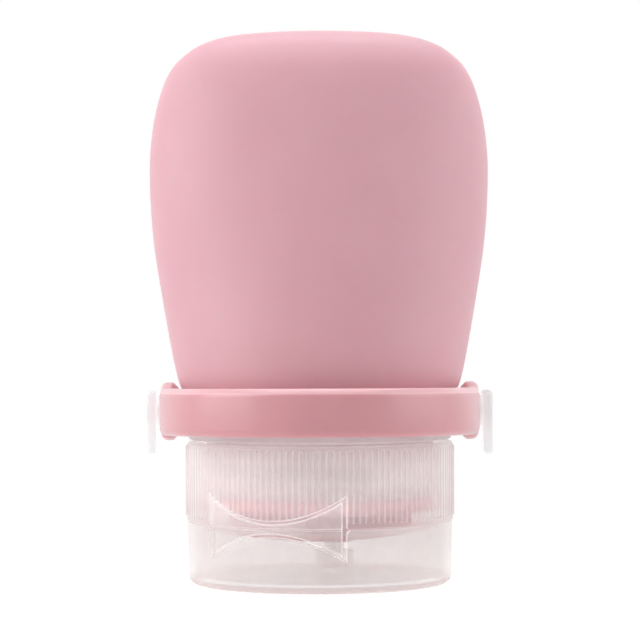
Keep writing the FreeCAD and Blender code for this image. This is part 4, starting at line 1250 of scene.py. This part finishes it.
inner_radius = CROWN_RADIUS - VALVE_MEMBRANE
valve_outline = [
    (inner_radius, valve_low.z), (valve_radius - VALVE_EDGE, valve_low.z),
    (valve_radius, valve_low.z + VALVE_EDGE), (valve_radius, rim_top - VALVE_EDGE),
    (valve_radius - VALVE_EDGE, rim_top),
]
valve_outline += [vault(CROWN_RADIUS, rim_top, valve_high.z, share) for share in spread(1, 0, 8)]
inner_top = valve_high.z - VALVE_MEMBRANE
valve_outline += [vault(inner_radius, valve_low.z, inner_top, share) for share in spread(0, 1, 8)[:-1]]
slits = []
for length, width in ((SLIT_LENGTH, SLIT_WIDTH), (SLIT_WIDTH, SLIT_LENGTH)):
    cutter = bmesh.new()
    size = Matrix.Diagonal((length, width, 4 * (valve_high.z - valve_low.z), 1))
    turn = Matrix.Translation((0, 0, valve_high.z)) @ Matrix.Rotation(hinge_azimuth, 4, "Z")
    bmesh.ops.create_cube(cutter, size=1, matrix=outlet_place @ turn @ size)
    slits.append(bpy.data.meshes.new("slit"))
    cutter.to_mesh(slits[-1])
    cutter.free()
valve_disc = turned("valve", valve_outline, 96, outlet_place)
valve = piece("valve", combined("valve", valve_disc, slits, "DIFFERENCE"), valve_finish)
for node, finish in (("neck_insert", collar_finish), ("valve_retainer", skirt_finish)):
    mesh = frame["nodes"][node].data
    mesh.materials.clear()
    mesh.materials.append(finish)
print("sealing ring", len(sealing_ring.data.polygons), "faces, valve", len(valve.data.polygons), "faces")

# %% [markdown]
# Every piece but the hinge plate now rides on the body that carries it, and the measured solid it stands
# for is hidden. The hinge plate stays where it was made, and its measured solid is hidden too.

# %% Fix the pieces to their bodies
for item, body, node, slot in (
    (soft_body, "bottle", "squeeze_bottle", "silicone_pink"), (strap, "strap", "loop_strap", "strap_pink"),
    (collar, "bottle", "neck_collar", "milky_plastic"),
    (neck_thread, "bottle", "neck_collar", "milky_plastic"),
    (screw_cap, "cap", "cap_base", "clear_plastic"), (cap_thread, "cap", "cap_base", "clear_plastic"),
    (outlet, "cap", "cap_base", "clear_plastic"), (lid, "lid", "flip_lid", "clear_plastic"),
    (sealing_ring, "seal", "cap_gasket", "gasket_pink"), (valve, "cap", "drip_valve", "valve_silicone"),
):
    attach(item, body)
    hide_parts(node)
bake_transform(hinge)
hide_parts("hinge_butterfly")

# %% [markdown]
# The studio is a white table under soft light: a wide lamp on either side, one overhead, and a
# pale room. The room and the table look white to the camera, to reflections and through the cap,
# while the light that they give the bottle stays at a plain level.

# %% Studio
ROOM_LIGHT = 0.02
TABLE_GLOW = 0.86
TABLE_SIZE = 3.0


def seen_directly(tree):
    """1 for rays that come from the camera, from a reflection or through the clear plastic."""
    path = tree.add("ShaderNodeLightPath").outputs
    either = tree.math("MAXIMUM", path["Is Camera Ray"], path["Is Glossy Ray"])
    return tree.math("MAXIMUM", either, path["Is Transmission Ray"])


world = bpy.data.worlds.new("room")
world.use_nodes = True
world.node_tree.nodes.clear()
tree = Tree(world.node_tree)
seen = seen_directly(tree)
room = tree.add("ShaderNodeBackground", {"Color": (1, 1, 1, 1), "Strength": ROOM_LIGHT})
white = tree.add("ShaderNodeBackground", {"Color": (1, 1, 1, 1), "Strength": 1.0})
mix = tree.add("ShaderNodeMixShader", {0: seen, 1: room.outputs[0], 2: white.outputs[0]})
output = tree.add("ShaderNodeOutputWorld", {"Surface": mix.outputs[0]})
bpy.context.scene.world = world

# %% [markdown]
# The table glows softly under the bottle, so that the clear cap has something bright behind it, and
# fades to plain white further out. Light that falls on it still makes a shadow.

# %% Table
table_finish, tree, place, output = new_finish("white_table")
fleck = two_tone(tree, clouds(tree, place, 30.0), (0.84, 0.84, 0.84, 1), (0.86, 0.86, 0.86, 1))
matte = tree.add("ShaderNodeBsdfDiffuse", {"Color": fleck})
dim = tree.add("ShaderNodeBsdfDiffuse", {"Color": (0.3, 0.3, 0.3, 1)})
glow = tree.add("ShaderNodeEmission", {"Color": (1, 1, 1, 1), "Strength": TABLE_GLOW})
near = tree.add("ShaderNodeAddShader", {0: dim.outputs[0], 1: glow.outputs[0]})
away = tree.add("ShaderNodeVectorMath", {0: place}, operation="LENGTH").outputs["Value"]
fade = tree.add("ShaderNodeMapRange", {"Value": away, "From Min": 0.03, "From Max": 0.12},
                interpolation_type="SMOOTHSTEP").outputs["Result"]
plain = tree.add("ShaderNodeEmission", {"Color": (1, 1, 1, 1), "Strength": 1.0})
bright = tree.add("ShaderNodeMixShader", {0: fade, 1: near.outputs[0], 2: plain.outputs[0]})
mix = tree.add("ShaderNodeMixShader", {0: seen_directly(tree), 1: matte.outputs[0], 2: bright.outputs[0]})
tree.tree.links.new(mix.outputs[0], output.inputs["Surface"])
table_mesh = bpy.data.meshes.new("table")
half = TABLE_SIZE / 2
corners = [(-half, -half, 0), (half, -half, 0), (half, half, 0), (-half, half, 0)]
table_mesh.from_pydata(corners, [], [(0, 1, 2, 3)])
table = piece("table", table_mesh, table_finish)

# %% [markdown]
# Five square lamps: two large ones at the sides, one overhead, and two weak ones behind for the rim.

# %% Lamps
LAMPS = [
    ("left_lamp", (-0.75, -0.25, 0.30), 0.7, 4.7),
    ("right_lamp", (0.75, -0.20, 0.26), 0.7, 3.1),
    ("top_lamp", (0.0, 0.05, 0.85), 0.8, 5.7),
    ("rim_lamp_left", (-0.65, 0.45, 0.25), 0.6, 0.3),
    ("rim_lamp_right", (0.65, 0.45, 0.25), 0.6, 0.6),
]
target = Vector((0, 0, 0.05))
for name, place, size, watts in LAMPS:
    data = bpy.data.lights.new(name, "AREA")
    data.shape = "SQUARE"
    data.size = size
    data.energy = watts
    lamp = bpy.data.objects.new(name, data)
    lamp.location = place
    lamp.rotation_euler = (target - Vector(place)).to_track_quat("-Z", "Y").to_euler()
    bpy.context.scene.collection.objects.link(lamp)
bpy.context.scene.view_settings.view_transform = "Standard"
print("studio ready")
